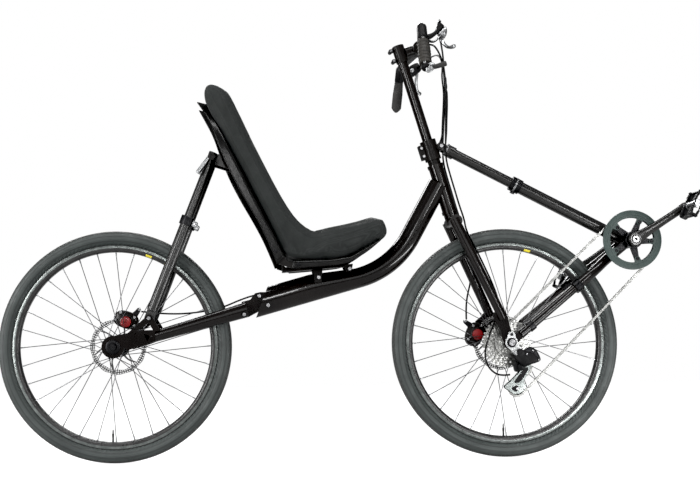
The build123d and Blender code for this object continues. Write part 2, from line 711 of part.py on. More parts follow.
bb_bore = disc(bottom_bracket, -bb_shell_width / 2 - 5, bb_shell_width / 2 + 5, bb_axle_radius + fit)
keep("boom_outer", boom_outer + bb_shell - bb_bore)
boom_collar = rod(on_boom(boom_split - 8), on_boom(boom_split), boom_outer_diameter / 2 + collar_thickness,
                  boom_inner_diameter / 2 + fit)
boom_collar += rod(on_boom(boom_split), on_boom(boom_split + collar_length),
                   boom_outer_diameter / 2 + collar_thickness, boom_outer_diameter / 2 + fit)
collar_bolt = on_boom(boom_split + 7)
boom_collar += rod(beside(collar_bolt, -8, 0, -17), beside(collar_bolt, -11, 0, -23), 7.0)

# ---- drive stays: telescoping tubes from the front axle to the bottom bracket ---------------


def on_stay(distance, y, across=0.0):
    """A point on the line from the front axle to the bottom bracket."""
    return (front_axle[0] + distance * bb_cos - across * bb_sin, y,
            front_axle[1] + distance * bb_sin + across * bb_cos)


tube_start = 35.0
knee = stay_length - 140.0
leg_start = knee - 73.0
tube_end = knee - 28.0
knee_y = 47.0
slope = (stay_tube_y - knee_y) / (knee - tube_start)


def stay_side_y(distance):
    """The outward place of the straight part of a stay."""
    return stay_tube_y - slope * (distance - tube_start)


def straight_point(distance):
    """A point on the straight part of the left stay."""
    return on_stay(distance, stay_side_y(distance))


stay_bore = rod(straight_point(leg_start - 5), straight_point(tube_end + 5), stay_tube_diameter / 2 + fit)
stay_leg = bent_tube([straight_point(leg_start), straight_point(knee), on_stay(knee + 50, stay_leg_y),
                      on_stay(stay_length, stay_leg_y)], [120.0, 90.0], stay_leg_diameter / 2)
bb_cut = disc(bottom_bracket, -bb_shell_width, bb_shell_width, bb_shell_diameter / 2 + seat_gap)
stay_leg = stay_leg - stay_bore - bb_cut
stay_leg = max(stay_leg.solids(), key=lambda s: s.volume)
stay_tube = rod(straight_point(tube_start), straight_point(tube_end), stay_tube_diameter / 2)
tab_outline = [on_stay(50, 0, 9)[::2], on_stay(50, 0, -9)[::2], on_stay(0, 0, -13)[::2], on_stay(-9, 0, -9)[::2],
               on_stay(-13, 0, 0)[::2], on_stay(-9, 0, 9)[::2], on_stay(0, 0, 13)[::2]]
stay_tab = plate(tab_outline, tab_y, tab_outer) - disc(front_axle, tab_y - 1, tab_outer + 1, axle_radius + fit)
stay_tube += stay_tab
keep("drive_stay_tubes", stay_tube, mirrored(stay_tube))
keep("drive_stay_legs", stay_leg, mirrored(stay_leg))
mid_collar = rod(straight_point(leg_start - 4), straight_point(leg_start), stay_leg_diameter / 2 + collar_thickness,
                 stay_tube_diameter / 2 + fit)
mid_collar += rod(straight_point(leg_start), straight_point(leg_start + collar_length - 4),
                  stay_leg_diameter / 2 + collar_thickness, stay_leg_diameter / 2 + fit)
low_collar = rod(straight_point(66), straight_point(82), stay_tube_diameter / 2 + 3, stay_tube_diameter / 2 + fit)
keep("slide_collars", boom_collar, mid_collar, mirrored(mid_collar), low_collar, mirrored(low_collar))

# ---- handlebar ----------------------------------------------------------------------------
stem_middle = on_steer(riser_top - stem_clamp_length / 2)
bar_centre = beside(stem_middle, 53.5, 0.0, 15.5)
stem = rod(on_steer(riser_top - stem_clamp_length), on_steer(riser_top), stem_clamp_radius)
stem += rod(stem_middle, bar_centre, 13.0)
stem += disc(bar_centre, -22, 22, 19.0)
stem_bolts = [on_steer(riser_top - 10, -25), on_steer(riser_top - 40, -25)]
stem += plate([on_steer(riser_top - 2, -16)[::2], on_steer(riser_top - 2, -32)[::2],
               on_steer(riser_top - 48, -32)[::2], on_steer(riser_top - 48, -16)[::2]], -9, 9)
stem -= rod(on_steer(riser_top - stem_clamp_length - 5), on_steer(riser_top + 5), steerer_diameter / 2 + fit)
stem -= disc(bar_centre, -30, 30, bar_clamp_diameter / 2 + fit)
for place in stem_bolts:
    stem -= disc(place, -20, 20, 3.0 + fit)
keep("stem", stem)

bar_corner = beside(bar_centre, -22.0, 228.0, 4.0)
bar_end = beside(bar_centre, -20.0, 292.0, -126.0)
bar_half = bent_tube([bar_centre, beside(bar_centre, 0, 50.0, 0), bar_corner, bar_end], [150.0, 32.0],
                     bar_diameter / 2)
bar_half += disc(bar_centre, 0, 26, bar_clamp_diameter / 2)
keep("handlebar", bar_half + mirrored(bar_half))


def on_bar_end(share):
    """A point on the left hand bar's downward run."""
    return between(bar_corner, bar_end, share)


grip = rod(on_bar_end(0.34), on_bar_end(0.995), grip_diameter / 2, bar_diameter / 2 + fit)
plug = cone(on_bar_end(1.003), on_bar_end(1.12), grip_diameter / 2, 3.0)
keep("grips", grip, mirrored(grip), plug)

lever_centre = on_bar_end(lever_place)
lever_body = rod(on_bar_end(lever_place - 0.055), on_bar_end(lever_place + 0.055), 17.0, bar_diameter / 2 + fit)
lever_head = beside(bar_centre, 24.0, 240.0, -24.0)
lever_cap = beside(bar_centre, 13.0, 235.0, 17.0)
lever_arm = rod(beside(lever_centre, 14, lever_centre[1] - 1, 0), lever_head, 8.0)
lever_body += lever_arm + cone(beside(lever_head, 3, lever_head[1], -8), lever_cap, 12.0, 6.0)
lever_body -= rod(on_bar_end(lever_place - 0.2), on_bar_end(lever_place + 0.2), bar_diameter / 2 + fit)
blade_root = beside(lever_head, 3.8, 239.5, -10.7)
blade_elbow = beside(lever_head, 15.5, 268.0, -32.0)
blade_tip = beside(lever_head, 24.5, 291.0, -39.0)
lever_blade = bent_tube([blade_root, blade_elbow, blade_tip, beside(blade_tip, 9, 294.0, 4)], [14.0, 7.0], 3.6)
pod = rod(on_bar_end(1.003), on_bar_end(1.14), 12.0)
pod_middle = on_bar_end(1.07)
pod += disc(pod_middle, pod_middle[1] - 3, pod_middle[1] + 15, 10.0)
pod += cone(beside(pod_middle, 9, pod_middle[1] + 4, 2), beside(pod_middle, 50, pod_middle[1] + 4, 16), 5.0, 6.0)
keep("bar_controls", lever_body, mirrored(lever_body), mirrored(pod))
keep("brake_blades", lever_blade, mirrored(lever_blade))

# ---- brake calipers -----------------------------------------------------------------------


def polar(centre, angle, radial, tangential, y=0.0):
    """A point given outward from an axle at an angle, and sideways from that line."""
    (x, z), = turned([(radial, tangential)], centre, angle)
    return (x, y, z)


caliper_outline = [(52, -22), (60, -36), (86, -44), (102, -34), (108, -12), (108, 24), (98, 40), (78, 46),
                   (60, 38), (52, 22)]
caliper_outer_y = drop_y - seat_gap
arm_radial = 118.0
arm_tangential = -25.0


def caliper(centre, angle):
    """Body that straddles the rotor, with a cable arm and an adjuster knob on its inner side."""
    body = plate(turned(caliper_outline, centre, angle), caliper_inner_y, caliper_outer_y)
    body -= disc(centre, rotor_y - rotor_thickness / 2 - pad_gap, rotor_y + rotor_thickness / 2 + pad_gap,
                 rotor_radius + 3)
    arm = turned([(98, -8), (arm_radial + 5, arm_tangential + 6), (arm_radial + 3, arm_tangential - 6), (96, -26)],
                 centre, angle)
    body += plate(arm, rotor_y - 8, rotor_y + 2)
    knob = disc(polar(centre, angle, caliper_reach, 0), caliper_inner_y - seat_gap - 3.3,
                caliper_inner_y - seat_gap, 16.0)
    return body, knob


front_caliper_angle = 161.6
rear_caliper_angle = 72.3
keep("front_brake_caliper", *caliper(front_axle, front_caliper_angle))
keep("rear_brake_caliper", *caliper(rear_axle, rear_caliper_angle))

# ---- bolts --------------------------------------------------------------------------------
strut_bolt = bolt(strut_eye, strut_y - strut_foot_thickness / 2 - seat_gap, drop_outer + seat_gap, bolt_radius)
lug_bolt_set = []
for place in lug_bolts:
    lug_bolt = bolt(place, lug_y - bracket_thickness - seat_gap, half_shell + seat_gap, 3.0, 3.0)
    lug_bolt_set += [lug_bolt, mirrored(lug_bolt)]
yoke_half_lengths = [yoke_half_width + seat_gap, main_tube_diameter / 2 + seat_gap]
yoke_bolt_set = [bolt(place, -half, half, bolt_radius) for place, half in zip(yoke_bolts, yoke_half_lengths)]
tube_bolt_half = ear_y + bracket_thickness + seat_gap
tube_bolt_set = [bolt(place, -tube_bolt_half, tube_bolt_half, bolt_radius) for place in tube_bolts]
for place in tube_bolts + yoke_bolts[1:]:
    main_tube -= disc(place, -60, 60, bolt_radius + fit)
keep("main_tube", main_tube)
keep("frame_bolts", strut_bolt, mirrored(strut_bolt), bolt(yoke_pin, -44, 44, bolt_radius), *yoke_bolt_set,
     *tube_bolt_set, *lug_bolt_set)
front_bolt_set = [bolt(place, -12.2, 12.2, 3.0) for place in clamp_bolts]
front_bolt_set += [bolt(place, -9.2, 9.2, 3.0) for place in stem_bolts]
front_bolt_set.append(bolt(boom_pivot, -cheek_y - 3.8, cheek_y + 3.8, bolt_radius))
keep("front_bolts", *front_bolt_set)

# ---- derailleur ---------------------------------------------------------------------------
jockey_radius = pitch_radius(jockey_teeth)
guide_pulley = beside(front_axle, 40.0, 0.0, -72.0)[::2]
tension_pulley = beside(front_axle, 20.6, 0.0, -128.5)[::2]
hanger_bolt = beside(front_axle, 20.6, 0.0, -28.0)[::2]
cage_pivot = beside(front_axle, 27.0, 0.0, -67.0)[::2]
hanger = disc(front_axle, -hanger_outer, -hanger_y, 18.0)
hanger += plate(outline_at(front_axle, [(-11, 14), (-10, 26), (0, 31), (11, 26), (12, 14)]), -hanger_outer, -hanger_y)
hanger += plate(outline_at(front_axle, [(-8, -16), (12, -38), (29, -36), (31, -22), (17, -6)]),
                -hanger_outer, -hanger_y)
hanger -= disc(front_axle, -hanger_outer - 1, -hanger_y + 1, axle_radius + fit)
hanger -= disc(beside(front_axle, 0.5, 0, 22.5), -hanger_outer - 1, -hanger_y + 1, 4.0)
knuckle_y = -hanger_outer - seat_gap
upper_knuckle = disc(hanger_bolt, knuckle_y - 16, knuckle_y, 11.0)
upper_link = plate(outline_at(front_axle, [(12, -36), (22, -18), (46, -10), (62, -18), (86, -40), (84, -52),
                                           (70, -54), (48, -34)]), knuckle_y - 14, knuckle_y - 2)
side_link = plate(outline_at(front_axle, [(66, -34), (84, -50), (60, -58), (36, -78), (22, -76), (18, -62),
                                          (34, -54)]), knuckle_y - 8, knuckle_y + 10)
lower_knuckle = disc(cage_pivot, knuckle_y - 2, chain_y - chain_inner_half - 9, 11.0)
cable_stop = plate(outline_at(front_axle, [(26, -76), (14, -70), (-1, -84), (-1, -94), (10, -94)]),
                   knuckle_y + 4, knuckle_y + 22)
keep("derailleur_body", hanger, upper_knuckle + upper_link + side_link + lower_knuckle + cable_stop)
cage_half = 7.9
cage_thickness = 2.0
cage_outline = outline_at(front_axle, [(50, -54), (58, -68), (46, -92), (38, -112), (46, -128), (40, -146),
                                       (10, -152), (-10, -140), (-4, -110), (12, -84), (16, -60), (28, -52)])
cage = plate(cage_outline, chain_y - cage_half - cage_thickness, chain_y - cage_half)
cage += plate(cage_outline, chain_y + cage_half, chain_y + cage_half + cage_thickness)
jockeys = []
for pulley in (guide_pulley, tension_pulley):
    cage += disc(pulley, chain_y - cage_half - cage_thickness, chain_y + cage_half + cage_thickness + 1, 4.0)
    wheel = disc(pulley, chain_y - sprocket_thickness / 2, chain_y + sprocket_thickness / 2,
                 jockey_radius + tooth_height, 4.0 + fit)
    jockeys.append(wheel + disc(pulley, chain_y - cage_half + seat_gap, chain_y + cage_half - seat_gap, 9.0,
                                4.0 + fit))
keep("derailleur_cage", cage)
keep("jockey_wheels", *jockeys)

# ---- crankset and pedals ------------------------------------------------------------------
sprocket_half = sprocket_thickness / 2
bolt_circle_radius = spider_bolt_circle / 2
guard_y = chain_y - guard_offset
guard_face = guard_y + guard_thickness / 2
chainring_radius = pitch_radius(chainring_teeth)
crank_axle = disc(bottom_bracket, -crank_inner_y - 2, crank_inner_y + 2, bb_axle_radius)
chainring = disc(bottom_bracket, chain_y - sprocket_half, chain_y + sprocket_half, chainring_radius + tooth_height,
                 bolt_circle_radius + 8)
guard = disc(bottom_bracket, guard_y - guard_thickness / 2, guard_face, guard_radius, guard_radius - guard_width)
spider = disc(bottom_bracket, -crank_inner_y, chain_y + sprocket_half, 24.0)
guard_seat = guard_face + seat_gap
for k in range(5):
    angle = crank_angle + 36 + 72 * k
    tab = turned([(bolt_circle_radius - 7, -7), (guard_radius - guard_width + 3, -11),
                  (guard_radius - guard_width + 3, 11), (bolt_circle_radius - 7, 7)], bottom_bracket, angle)
    guard += plate(tab, guard_y - guard_thickness / 2, guard_face)
    arm = turned([(15, -10), (bolt_circle_radius + 7, -7), (bolt_circle_radius + 11, -4), (bolt_circle_radius + 11, 4),
                  (bolt_circle_radius + 7, 7), (15, 10)], bottom_bracket, angle)
    spider += plate(arm, guard_seat, chain_y + sprocket_half)
spider -= disc(bottom_bracket, -crank_inner_y - 1, chain_y + sprocket_half + 1, bb_axle_radius + fit)
keep("chainring", chainring + spider)
keep("chain_guard", guard)

crank_outline = [(-17, -10), (-17, 10), (-8, 18), (12, 18), (40, 13), (crank_length - 12, 11),
                 (crank_length + 2, 13), (crank_length + 13, 5), (crank_length + 13, -5),
                 (crank_length + 2, -13), (crank_length - 12, -11), (40, -13), (12, -18), (-8, -18)]
pedal_hole = turned([(crank_length, 0)], bottom_bracket, crank_angle)[0]
pedal_hole_left = turned([(crank_length, 0)], bottom_bracket, crank_angle + 180)[0]
crank_outer_y = crank_inner_y + crank_thickness
crank_right = plate(turned(crank_outline, bottom_bracket, crank_angle), -crank_outer_y, -crank_inner_y)
crank_left = plate(turned(crank_outline, bottom_bracket, crank_angle + 180), crank_inner_y, crank_outer_y)
crank_right -= disc(pedal_hole, -crank_outer_y - 1, -crank_inner_y + 1, pedal_spindle_radius + fit)
crank_left -= disc(pedal_hole_left, crank_inner_y - 1, crank_outer_y + 1, pedal_spindle_radius + fit)
keep("cranks", crank_axle + crank_right + crank_left)


def pedal(centre, side):
    """Spindle, waisted body and two cage plates, its axis along Y; side is -1 for the right pedal."""
    inner = crank_outer_y + 2.0
    body_y = inner + 12.0
    outer = inner + pedal_width
    half = pedal_length / 2
    rise = pedal_height / 2
    body = disc(centre, crank_inner_y + 1.0, inner, pedal_spindle_radius)
    body += disc(centre, inner, outer, 11.0)
    waist = turned([(-half + 8, -5), (-16, -9), (16, -9), (half - 8, -5), (half - 8, 5), (16, 9), (-16, 9),
                    (-half + 8, 5)], centre, pedal_tilt)
    body += plate(waist, body_y + 14, outer - 14)
    cheek_outline = turned([(-half, -6), (-half + 8, -rise), (half - 8, -rise), (half, -6), (half, 6),
                            (half - 8, rise), (-half + 8, rise), (-half, 6)], centre, pedal_tilt)
    body += plate(cheek_outline, body_y, body_y + 5)
    body += plate(cheek_outline, outer - 5, outer)
    for end in (-1, 1):
        bar = turned([(end * (half - 5), -6), (end * half, -6), (end * half, 6), (end * (half - 5), 6)], centre,
                     pedal_tilt)
        body += plate(bar, body_y, outer)
    return mirrored(body) if side < 0 else body


keep("pedal_right_body", pedal(pedal_hole, -1))
keep("pedal_left_body", pedal(pedal_hole_left, 1))


# ---- chain --------------------------------------------------------------------------------
def tangent(c1, r1, c2, r2):
    """Touch points of the line that leaves circle 1 and reaches circle 2.

    A positive radius is a circle on the left of the direction of travel, a negative one on
    its right.
    """
    dx = c2[0] - c1[0]
    dz = c2[1] - c1[1]
    d = math.hypot(dx, dz)
    turn = math.asin((r2 - r1) / d)
    heading = math.atan2(dz, dx) - turn
    nx = math.sin(heading)
    nz = -math.cos(heading)
    return (c1[0] + r1 * nx, c1[1] + r1 * nz), (c2[0] + r2 * nx, c2[1] + r2 * nz)


def loop_face(stops, grow):
    """Face inside the closed path round the sprockets; grow widens it on its outer side."""
    stops = [(c, r + grow) for c, r in stops]
    lines = []
    for i, (c1, r1) in enumerate(stops):
        c2, r2 = stops[(i + 1) % len(stops)]
        lines.append(tangent(c1, r1, c2, r2))
    edges = []
    for i, (start, end) in enumerate(lines):
        edges.append(Line(start, end))
        centre, radius = stops[(i + 1) % len(stops)]
        following = lines[(i + 1) % len(lines)][0]
        a0 = math.atan2(end[1] - centre[1], end[0] - centre[0])
        a1 = math.atan2(following[1] - centre[1], following[0] - centre[0])
        sense = 1 if radius > 0 else -1
        am = a0 + sense * ((a1 - a0) * sense % (2 * math.pi)) / 2
        size = abs(radius)
        middle = (centre[0] + size * math.cos(am), centre[1] + size * math.sin(am))
        edges.append(ThreePointArc(end, middle, following))
    return make_face(edges)


chain_stops = [(bottom_bracket, chainring_radius), (front_axle, pitch_radius(cog_teeth[engaged_index])),
               (guide_pulley, -jockey_radius), (tension_pulley, jockey_radius)]
chain_strip = loop_face(chain_stops, chain_height / 2) - loop_face(chain_stops, -chain_height / 2)
chain_sides = []
for y_from in (chain_y + chain_inner_half, chain_y - chain_inner_half - chain_plate):
    chain_sides.append(extrude(Plane.XZ.offset(-(y_from + chain_plate)) * chain_strip, amount=chain_plate))
keep("chain", *chain_sides)

# ---- control cables -----------------------------------------------------------------------


def flipped(point):
    """The same point on the right side."""
    return (point[0], -point[1], point[2])


shift_route = [beside(bar_centre, 3, -232, -37), beside(bar_centre, 20, -192, -20),
               beside(bar_centre, 40, -140, -17), beside(bar_centre, 55, -88, -26),
               beside(bar_centre, 65, -48, -51), on_steer(255, 101, -30), on_steer(205, 92, -25),
               on_steer(160, 79, -24.5), on_steer(120, 64.5, -25), on_steer(80, 51, -26),
               on_steer(45, 38, -25.5), on_steer(8, 29, -25), on_steer(-35, 27.5, -25.5),
               on_steer(-80, 27, -25), on_steer(-125, 26, -25.5), on_steer(-165, 27, -28),
               flipped(on_blade(0.14, 19, -12)), flipped(on_blade(0.32, 18, -1)),
               flipped(on_blade(0.5, 17.5, 1)), flipped(on_blade(0.68, 17, -2)),
               beside(front_axle, -27, -57, 113), beside(front_axle, -34, -50, 76),
               beside(front_axle, -52, -48, 26), beside(front_axle, -69, -46, -24),
               beside(front_axle, -64, -50, -62), beside(front_axle, -44, -57, -86),
               beside(front_axle, -20, -64, -92), beside(front_axle, -2.5, -68, -89)]
keep("shift_cable", cable(shift_route))
front_brake_route = [beside(bar_centre, 26, -226, -21), beside(bar_centre, 40, -180, -9),
                     beside(bar_centre, 52, -125, -9), beside(bar_centre, 62, -75, -23),
                     beside(bar_centre, 67, -30, -51), on_steer(250, 103, -4), on_steer(205, 95, 9),
                     on_steer(160, 80, 18), on_steer(120, 65.5, 23), on_steer(80, 52, 25.5),
                     on_steer(45, 39, 25.5), on_steer(8, 30, 25), on_steer(-35, 28, 25.5),
                     on_steer(-80, 27.5, 25), on_steer(-125, 26.5, 25.5), on_steer(-165, 28, 28),
                     on_blade(0.14, 19, -12), on_blade(0.3, 17, 6), on_blade(0.44, 10, 16),
                     on_blade(0.58, -2, 17.5), beside(front_axle, -88, 84, 138),
                     beside(front_axle, -96, 68, 101), beside(front_axle, -99, 50, 67.5)]
keep("front_brake_cable", cable(front_brake_route))
lever_cable_route = [beside(bar_centre, 26, 226, -25), beside(bar_centre, 40, 182, -15),
                     beside(bar_centre, 52, 130, -15), beside(bar_centre, 60, 80, -28),
                     beside(bar_centre, 66, 40, -54), on_steer(250, 101, 20), on_steer(205, 93, 20),
                     on_steer(160, 79, 27), on_steer(120, 64, 30.5), on_steer(84, 52, 32),
                     on_steer(62, 33, 31), on_steer(38.6, 18.6, 30.5)]
keep("lever_brake_cable", cable(lever_cable_route))
rear_cable_route = [beside(rear_axle, 66, 48, 99), beside(rear_axle, 90, 43, 96), beside(rear_axle, 127, 41, 92.5),
                    beside(rear_axle, 168, 42, 91), beside(rear_axle, 210, 41, 93), beside(rear_axle, 254, 39, 99),
                    beside(rear_axle, 300, 36, 109), beside(rear_axle, 342, 33, 127),
                    beside(rear_axle, 382, 33, 141), beside(rear_axle, 424, 33, 148),
                    beside(rear_axle, 462, 33.5, 154), beside(rear_axle, 488, 29.4, 157)]
keep("rear_brake_cable", cable(rear_cable_route))

# ---- write --------------------------------------------------------------------------------
for name, shape in nodes.items():
    export_step(shape, f"parts/{name}.step")
print(len(nodes), "nodes")
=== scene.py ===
# %% [markdown]
# A recumbent bicycle, dressed on its engineering model.
# The bicycle has two spoked wheels, a bent main tube, a padded seat, and a front assembly that
# turns with the handlebar and carries the cranks, chain and gears.  The engineering model already
# holds every tube at its true size, so this lesson does two things: it gives those tubes their
# finishes, and it makes the pieces whose looks need more than a plain solid.
# The first step loads the model.  It could be modelled again from nothing, but a fixed frame keeps
# each piece where it belongs when the wheels spin and the bars turn.

# %% Load the bicycle
import math
import bmesh
import bpy
import numpy as np
from mathutils import Matrix, Vector


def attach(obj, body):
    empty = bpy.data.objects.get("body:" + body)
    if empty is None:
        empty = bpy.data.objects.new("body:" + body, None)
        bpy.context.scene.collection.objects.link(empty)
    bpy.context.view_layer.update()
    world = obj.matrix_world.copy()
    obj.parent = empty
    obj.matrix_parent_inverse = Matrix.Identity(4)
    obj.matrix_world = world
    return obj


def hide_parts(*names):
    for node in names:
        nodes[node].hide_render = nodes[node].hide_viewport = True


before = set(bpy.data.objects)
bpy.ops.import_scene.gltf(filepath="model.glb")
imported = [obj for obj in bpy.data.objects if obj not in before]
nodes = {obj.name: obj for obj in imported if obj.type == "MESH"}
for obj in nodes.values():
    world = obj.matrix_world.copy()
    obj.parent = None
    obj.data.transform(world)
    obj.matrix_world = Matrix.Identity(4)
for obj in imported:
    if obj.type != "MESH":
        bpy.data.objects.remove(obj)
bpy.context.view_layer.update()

# %% [markdown]
# Frame builders measure in millimetres from one fixed place.  Here it is the point where the rear
# tyre stands on the floor: x runs forward, y to the bicycle's left and z up.  The loaded model has
# its origin at the rider's place on the seat instead, and Blender counts in metres.
# Each piece is worked out in the builder's measures and changed over once, in one helper.

# %% The builder's measures
rider_place = np.array((567.98, 0.0, 640.0))
rear_axle = np.array((0.0, 0.0, 324.0))
front_axle = np.array((1100.0, 0.0, 324.0))
wheel_axles = {"front": front_axle, "rear": rear_axle}
sides = {-1: "right", 1: "left"}
axle_to_crank = 458.2
crank_rise = math.radians(38.6)
crank_axle = front_axle + axle_to_crank * np.array((math.cos(crank_rise), 0.0, math.sin(crank_rise)))
head_top = np.array((911.008, 0.0, 824.974))
steer_slope = math.radians(73.3)
steer_up = np.array((-math.cos(steer_slope), 0.0, math.sin(steer_slope)))
steer_forward = np.array((math.sin(steer_slope), 0.0, math.cos(steer_slope)))


def on_steer(up, forward=0.0, y=0.0):
    """A point measured up the steering axis from the head tube's top, then forward and sideways."""
    return head_top + up * steer_up + forward * steer_forward + np.array((0.0, y, 0.0))


def beside(datum, x, y, z):
    """A point at an offset along and above a datum, at its own y."""
    return np.array((datum[0] + x, y, datum[2] + z))


stem_height = 343.0
bar_middle = beside(on_steer(stem_height), 53.5, 0.0, 15.5)
print("crank axle at", np.round(crank_axle, 1), "handlebar at", np.round(bar_middle, 1))

# %% [markdown]
# Nearly every part of a bicycle is either turned on a lathe, drawn through a die or cut from
# plate.  All three are grids of points: rows along the part, columns round it.
# Blender could spin, extrude or carve them, but a grid worked out with numpy is exact, quick, and
# can make thirty-two spoke nipples at once by adding one more axis to the array.
# The helper below turns such grids into one mesh.  It joins each grid's four-sided faces, merges the
# points that meet, closes the open ends and turns every face outward.

# %% Grids into pieces
def grid_faces(shape):
    """Corner numbers of a grid's four-sided faces: each point with its neighbours ahead and beside."""
    count = np.arange(int(np.prod(shape))).reshape(shape)
    corners = (count[..., :-1, :-1], count[..., 1:, :-1], count[..., 1:, 1:], count[..., :-1, 1:])
    return np.stack(corners, -1).reshape(-1, 4)


def steps_map(shape):
    """Map coordinates of a grid that wasn't given any: its share along and its share round."""
    along, around = np.meshgrid(np.linspace(0, 1, shape[-2]), np.linspace(0, 1, shape[-1]), indexing="ij")
    return np.broadcast_to(np.stack((along, around), -1), (*shape, 2))


def piece(name, body, finish, *grids, stands_for=(), slot=None, close=True, angle=38.0, maps=None):
    """A finished object from grids of points in the builder's measures; maps gives their UVs."""
    grids = [np.asarray(g, float) for g in grids]
    starts = np.cumsum([0] + [g[..., 0].size for g in grids])
    points = np.concatenate([g.reshape(-1, 3) for g in grids])
    faces = np.concatenate([grid_faces(g.shape[:-1]) + s for g, s in zip(grids, starts)])
    flat = np.concatenate([np.asarray(m, float).reshape(-1, 2) for m in
                           (maps or [steps_map(g.shape[:-1]) for g in grids])])
    mesh = bpy.data.meshes.new(name)
    mesh.from_pydata((points - rider_place) / 1000, [], faces)
    layer = mesh.uv_layers.new(name="UVMap")
    layer.data.foreach_set("uv", flat[faces.ravel()].ravel())
    tidy = bmesh.new()
    tidy.from_mesh(mesh)
    bmesh.ops.remove_doubles(tidy, verts=tidy.verts, dist=2e-6)
    bmesh.ops.dissolve_degenerate(tidy, edges=tidy.edges, dist=1e-7)
    if close:
        bmesh.ops.holes_fill(tidy, edges=tidy.edges, sides=0)
    bmesh.ops.recalc_face_normals(tidy, faces=tidy.faces)
    tidy.to_mesh(mesh)
    tidy.free()
    mesh.shade_smooth()
    mesh.set_sharp_from_angle(angle=math.radians(angle))
    return finished(name, mesh, body, finish, stands_for)


def finished(name, data, body, finish, stands_for=()):
    """The object for some mesh or curve, riding on its body in its finish."""
    made = bpy.data.objects.new(name, data)
    bpy.context.scene.collection.objects.link(made)
    data.materials.clear()
    data.materials.append(finish)
    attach(made, body)
    if stands_for:
        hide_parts(*stands_for)
    return made


# %% [markdown]
# Three ways of making a grid cover almost everything here.  A hub or a knob is turned: a flat
# outline of radii goes once round an axis.  A lever or a tube is carried: a flat outline moves
# along a path.  A brake arm or a chain plate is cut from plate: its outline steps in at both faces,
# so that its edges catch the light as a real, slightly rounded edge does.
# Blender's Bevel modifier could round those edges too, but it has to guess where they are.

# %% Turned, carried and cut shapes
def circle(steps):
    """Angles once round, with the first repeated at the end."""
    return np.linspace(0.0, 2 * math.pi, steps + 1)


def unit(v):
    """Vectors made one long."""
    return v / np.linalg.norm(v, axis=-1, keepdims=True)


def turned(outline, centre, steps=48, axis=(0, 1, 0)):
    """Each (radius, place) of the outline becomes a ring: centre + place·axis + radius·(cos, sin)
    in the plane across the axis."""
    outline = np.asarray(outline, float)
    axis = unit(np.asarray(axis, float))
    spare = np.array((1.0, 0, 0)) if abs(axis[0]) < 0.7 else np.array((0, 0, 1.0))
    first = unit(spare - (spare @ axis) * axis)
    second = np.cross(axis, first)
    round_ = circle(steps)[None, :, None]
    radius = outline[:, :1, None]
    return centre + outline[:, 1:2, None] * axis + radius * (np.cos(round_) * first + np.sin(round_) * second)


def around(radius, angle, y):
    """Points at some radii and angles about the zero point, at a distance sideways."""
    return np.stack(np.broadcast_arrays(radius * np.cos(angle), y, radius * np.sin(angle)), -1)


def standing(flat, y):
    """Flat (x, z) points put at a distance sideways."""
    return np.insert(np.asarray(flat, float), 1, y, axis=-1)


def sideways(side, low, high):
    """Two distances to one side, the lower number first."""
    return sorted((side * low, side * high))


def mirrored(half):
    """An outline from its half: the first and last points lie on the middle line."""
    return half + [(a, -b) for a, b in reversed(half[1:-1])]


def eased(points, times=2, loop=False):
    """Corner cutting: each pass puts two points on every run, a quarter in from its ends."""
    points = np.asarray(points, float)
    for _ in range(times):
        here, ahead = (points, np.roll(points, -1, 0)) if loop else (points[:-1], points[1:])
        cut = np.stack((here * 0.75 + ahead * 0.25, here * 0.25 + ahead * 0.75), 1)
        cut = cut.reshape(-1, points.shape[-1])
        points = cut if loop else np.concatenate((points[:1], cut, points[-1:]))
    return points


def round_outline(steps=16, across=1.0, deep=1.0):
    """A closed ellipse: (across·cos, deep·sin)."""
    return np.stack((across * np.cos(circle(steps)), deep * np.sin(circle(steps))), -1)


def carried(path, outline, size=1.0, facing=(0, 1, 0)):
    """An outline's first coordinate points as near to facing as the path allows, its second across
    both: point = path + size·(a·side + b·up) at every step of the path."""
    path = np.asarray(path, float)
    along = unit(np.gradient(path, axis=0))
    facing = np.asarray(facing, float)
    side = unit(facing - (along @ facing)[:, None] * along)
    up = np.cross(along, side)
    size = np.broadcast_to(np.asarray(size, float).reshape(-1, 1, 1), (len(path), 1, 1))
    return path[:, None] + size * (outline[None, :, :1] * side[:, None] + outline[None, :, 1:] * up[:, None])


def inset(outline, amount):
    """A closed (x, z) outline moved inward: each corner goes along the mean of its runs' normals."""
    ahead = unit(np.roll(outline, -1, 0) - outline)
    behind = np.roll(ahead, 1, 0)
    area = np.sum(outline[:, 0] * np.roll(outline[:, 1], -1) - np.roll(outline[:, 0], -1) * outline[:, 1])
    turn = np.sign(area)
    normal = np.stack((-(ahead + behind)[:, 1], (ahead + behind)[:, 0]), -1) * turn / 2
    return outline + normal * amount / np.maximum((normal**2).sum(-1, keepdims=True), 0.35)


def cut_plate(outline, y_low, y_high, edge=0.6, rounds=2):
    """A plate from an (x, z) outline: four rows that step in at both faces by the edge's size."""
    outline = eased(outline, rounds, loop=True) if rounds else np.asarray(outline, float)
    small = inset(outline, edge)
    rows = [(small, y_low), (outline, y_low + edge), (outline, y_high - edge), (small, y_high)]
    grid = np.stack([standing(line, y) for line, y in rows])
    return np.concatenate((grid, grid[:, :1]), 1)


def run_length(line):
    """How far along a line each of its points lies."""
    return np.concatenate(([0], np.cumsum(np.linalg.norm(np.diff(line, axis=0), axis=1))))


def swelling(path, shares, sizes):
    """A size for each step of a path, given at some shares of its steps."""
    return np.interp(np.linspace(0, 1, len(path)), shares, sizes)


def spun(outline, centre, degrees):
    """A flat outline turned about its zero point and put at a centre."""
    c, s = math.cos(math.radians(degrees)), math.sin(math.radians(degrees))
    outline = np.asarray(outline, float)
    return np.stack((centre[0] + outline[..., 0] * c - outline[..., 1] * s,
                     centre[-1] + outline[..., 0] * s + outline[..., 1] * c), -1)


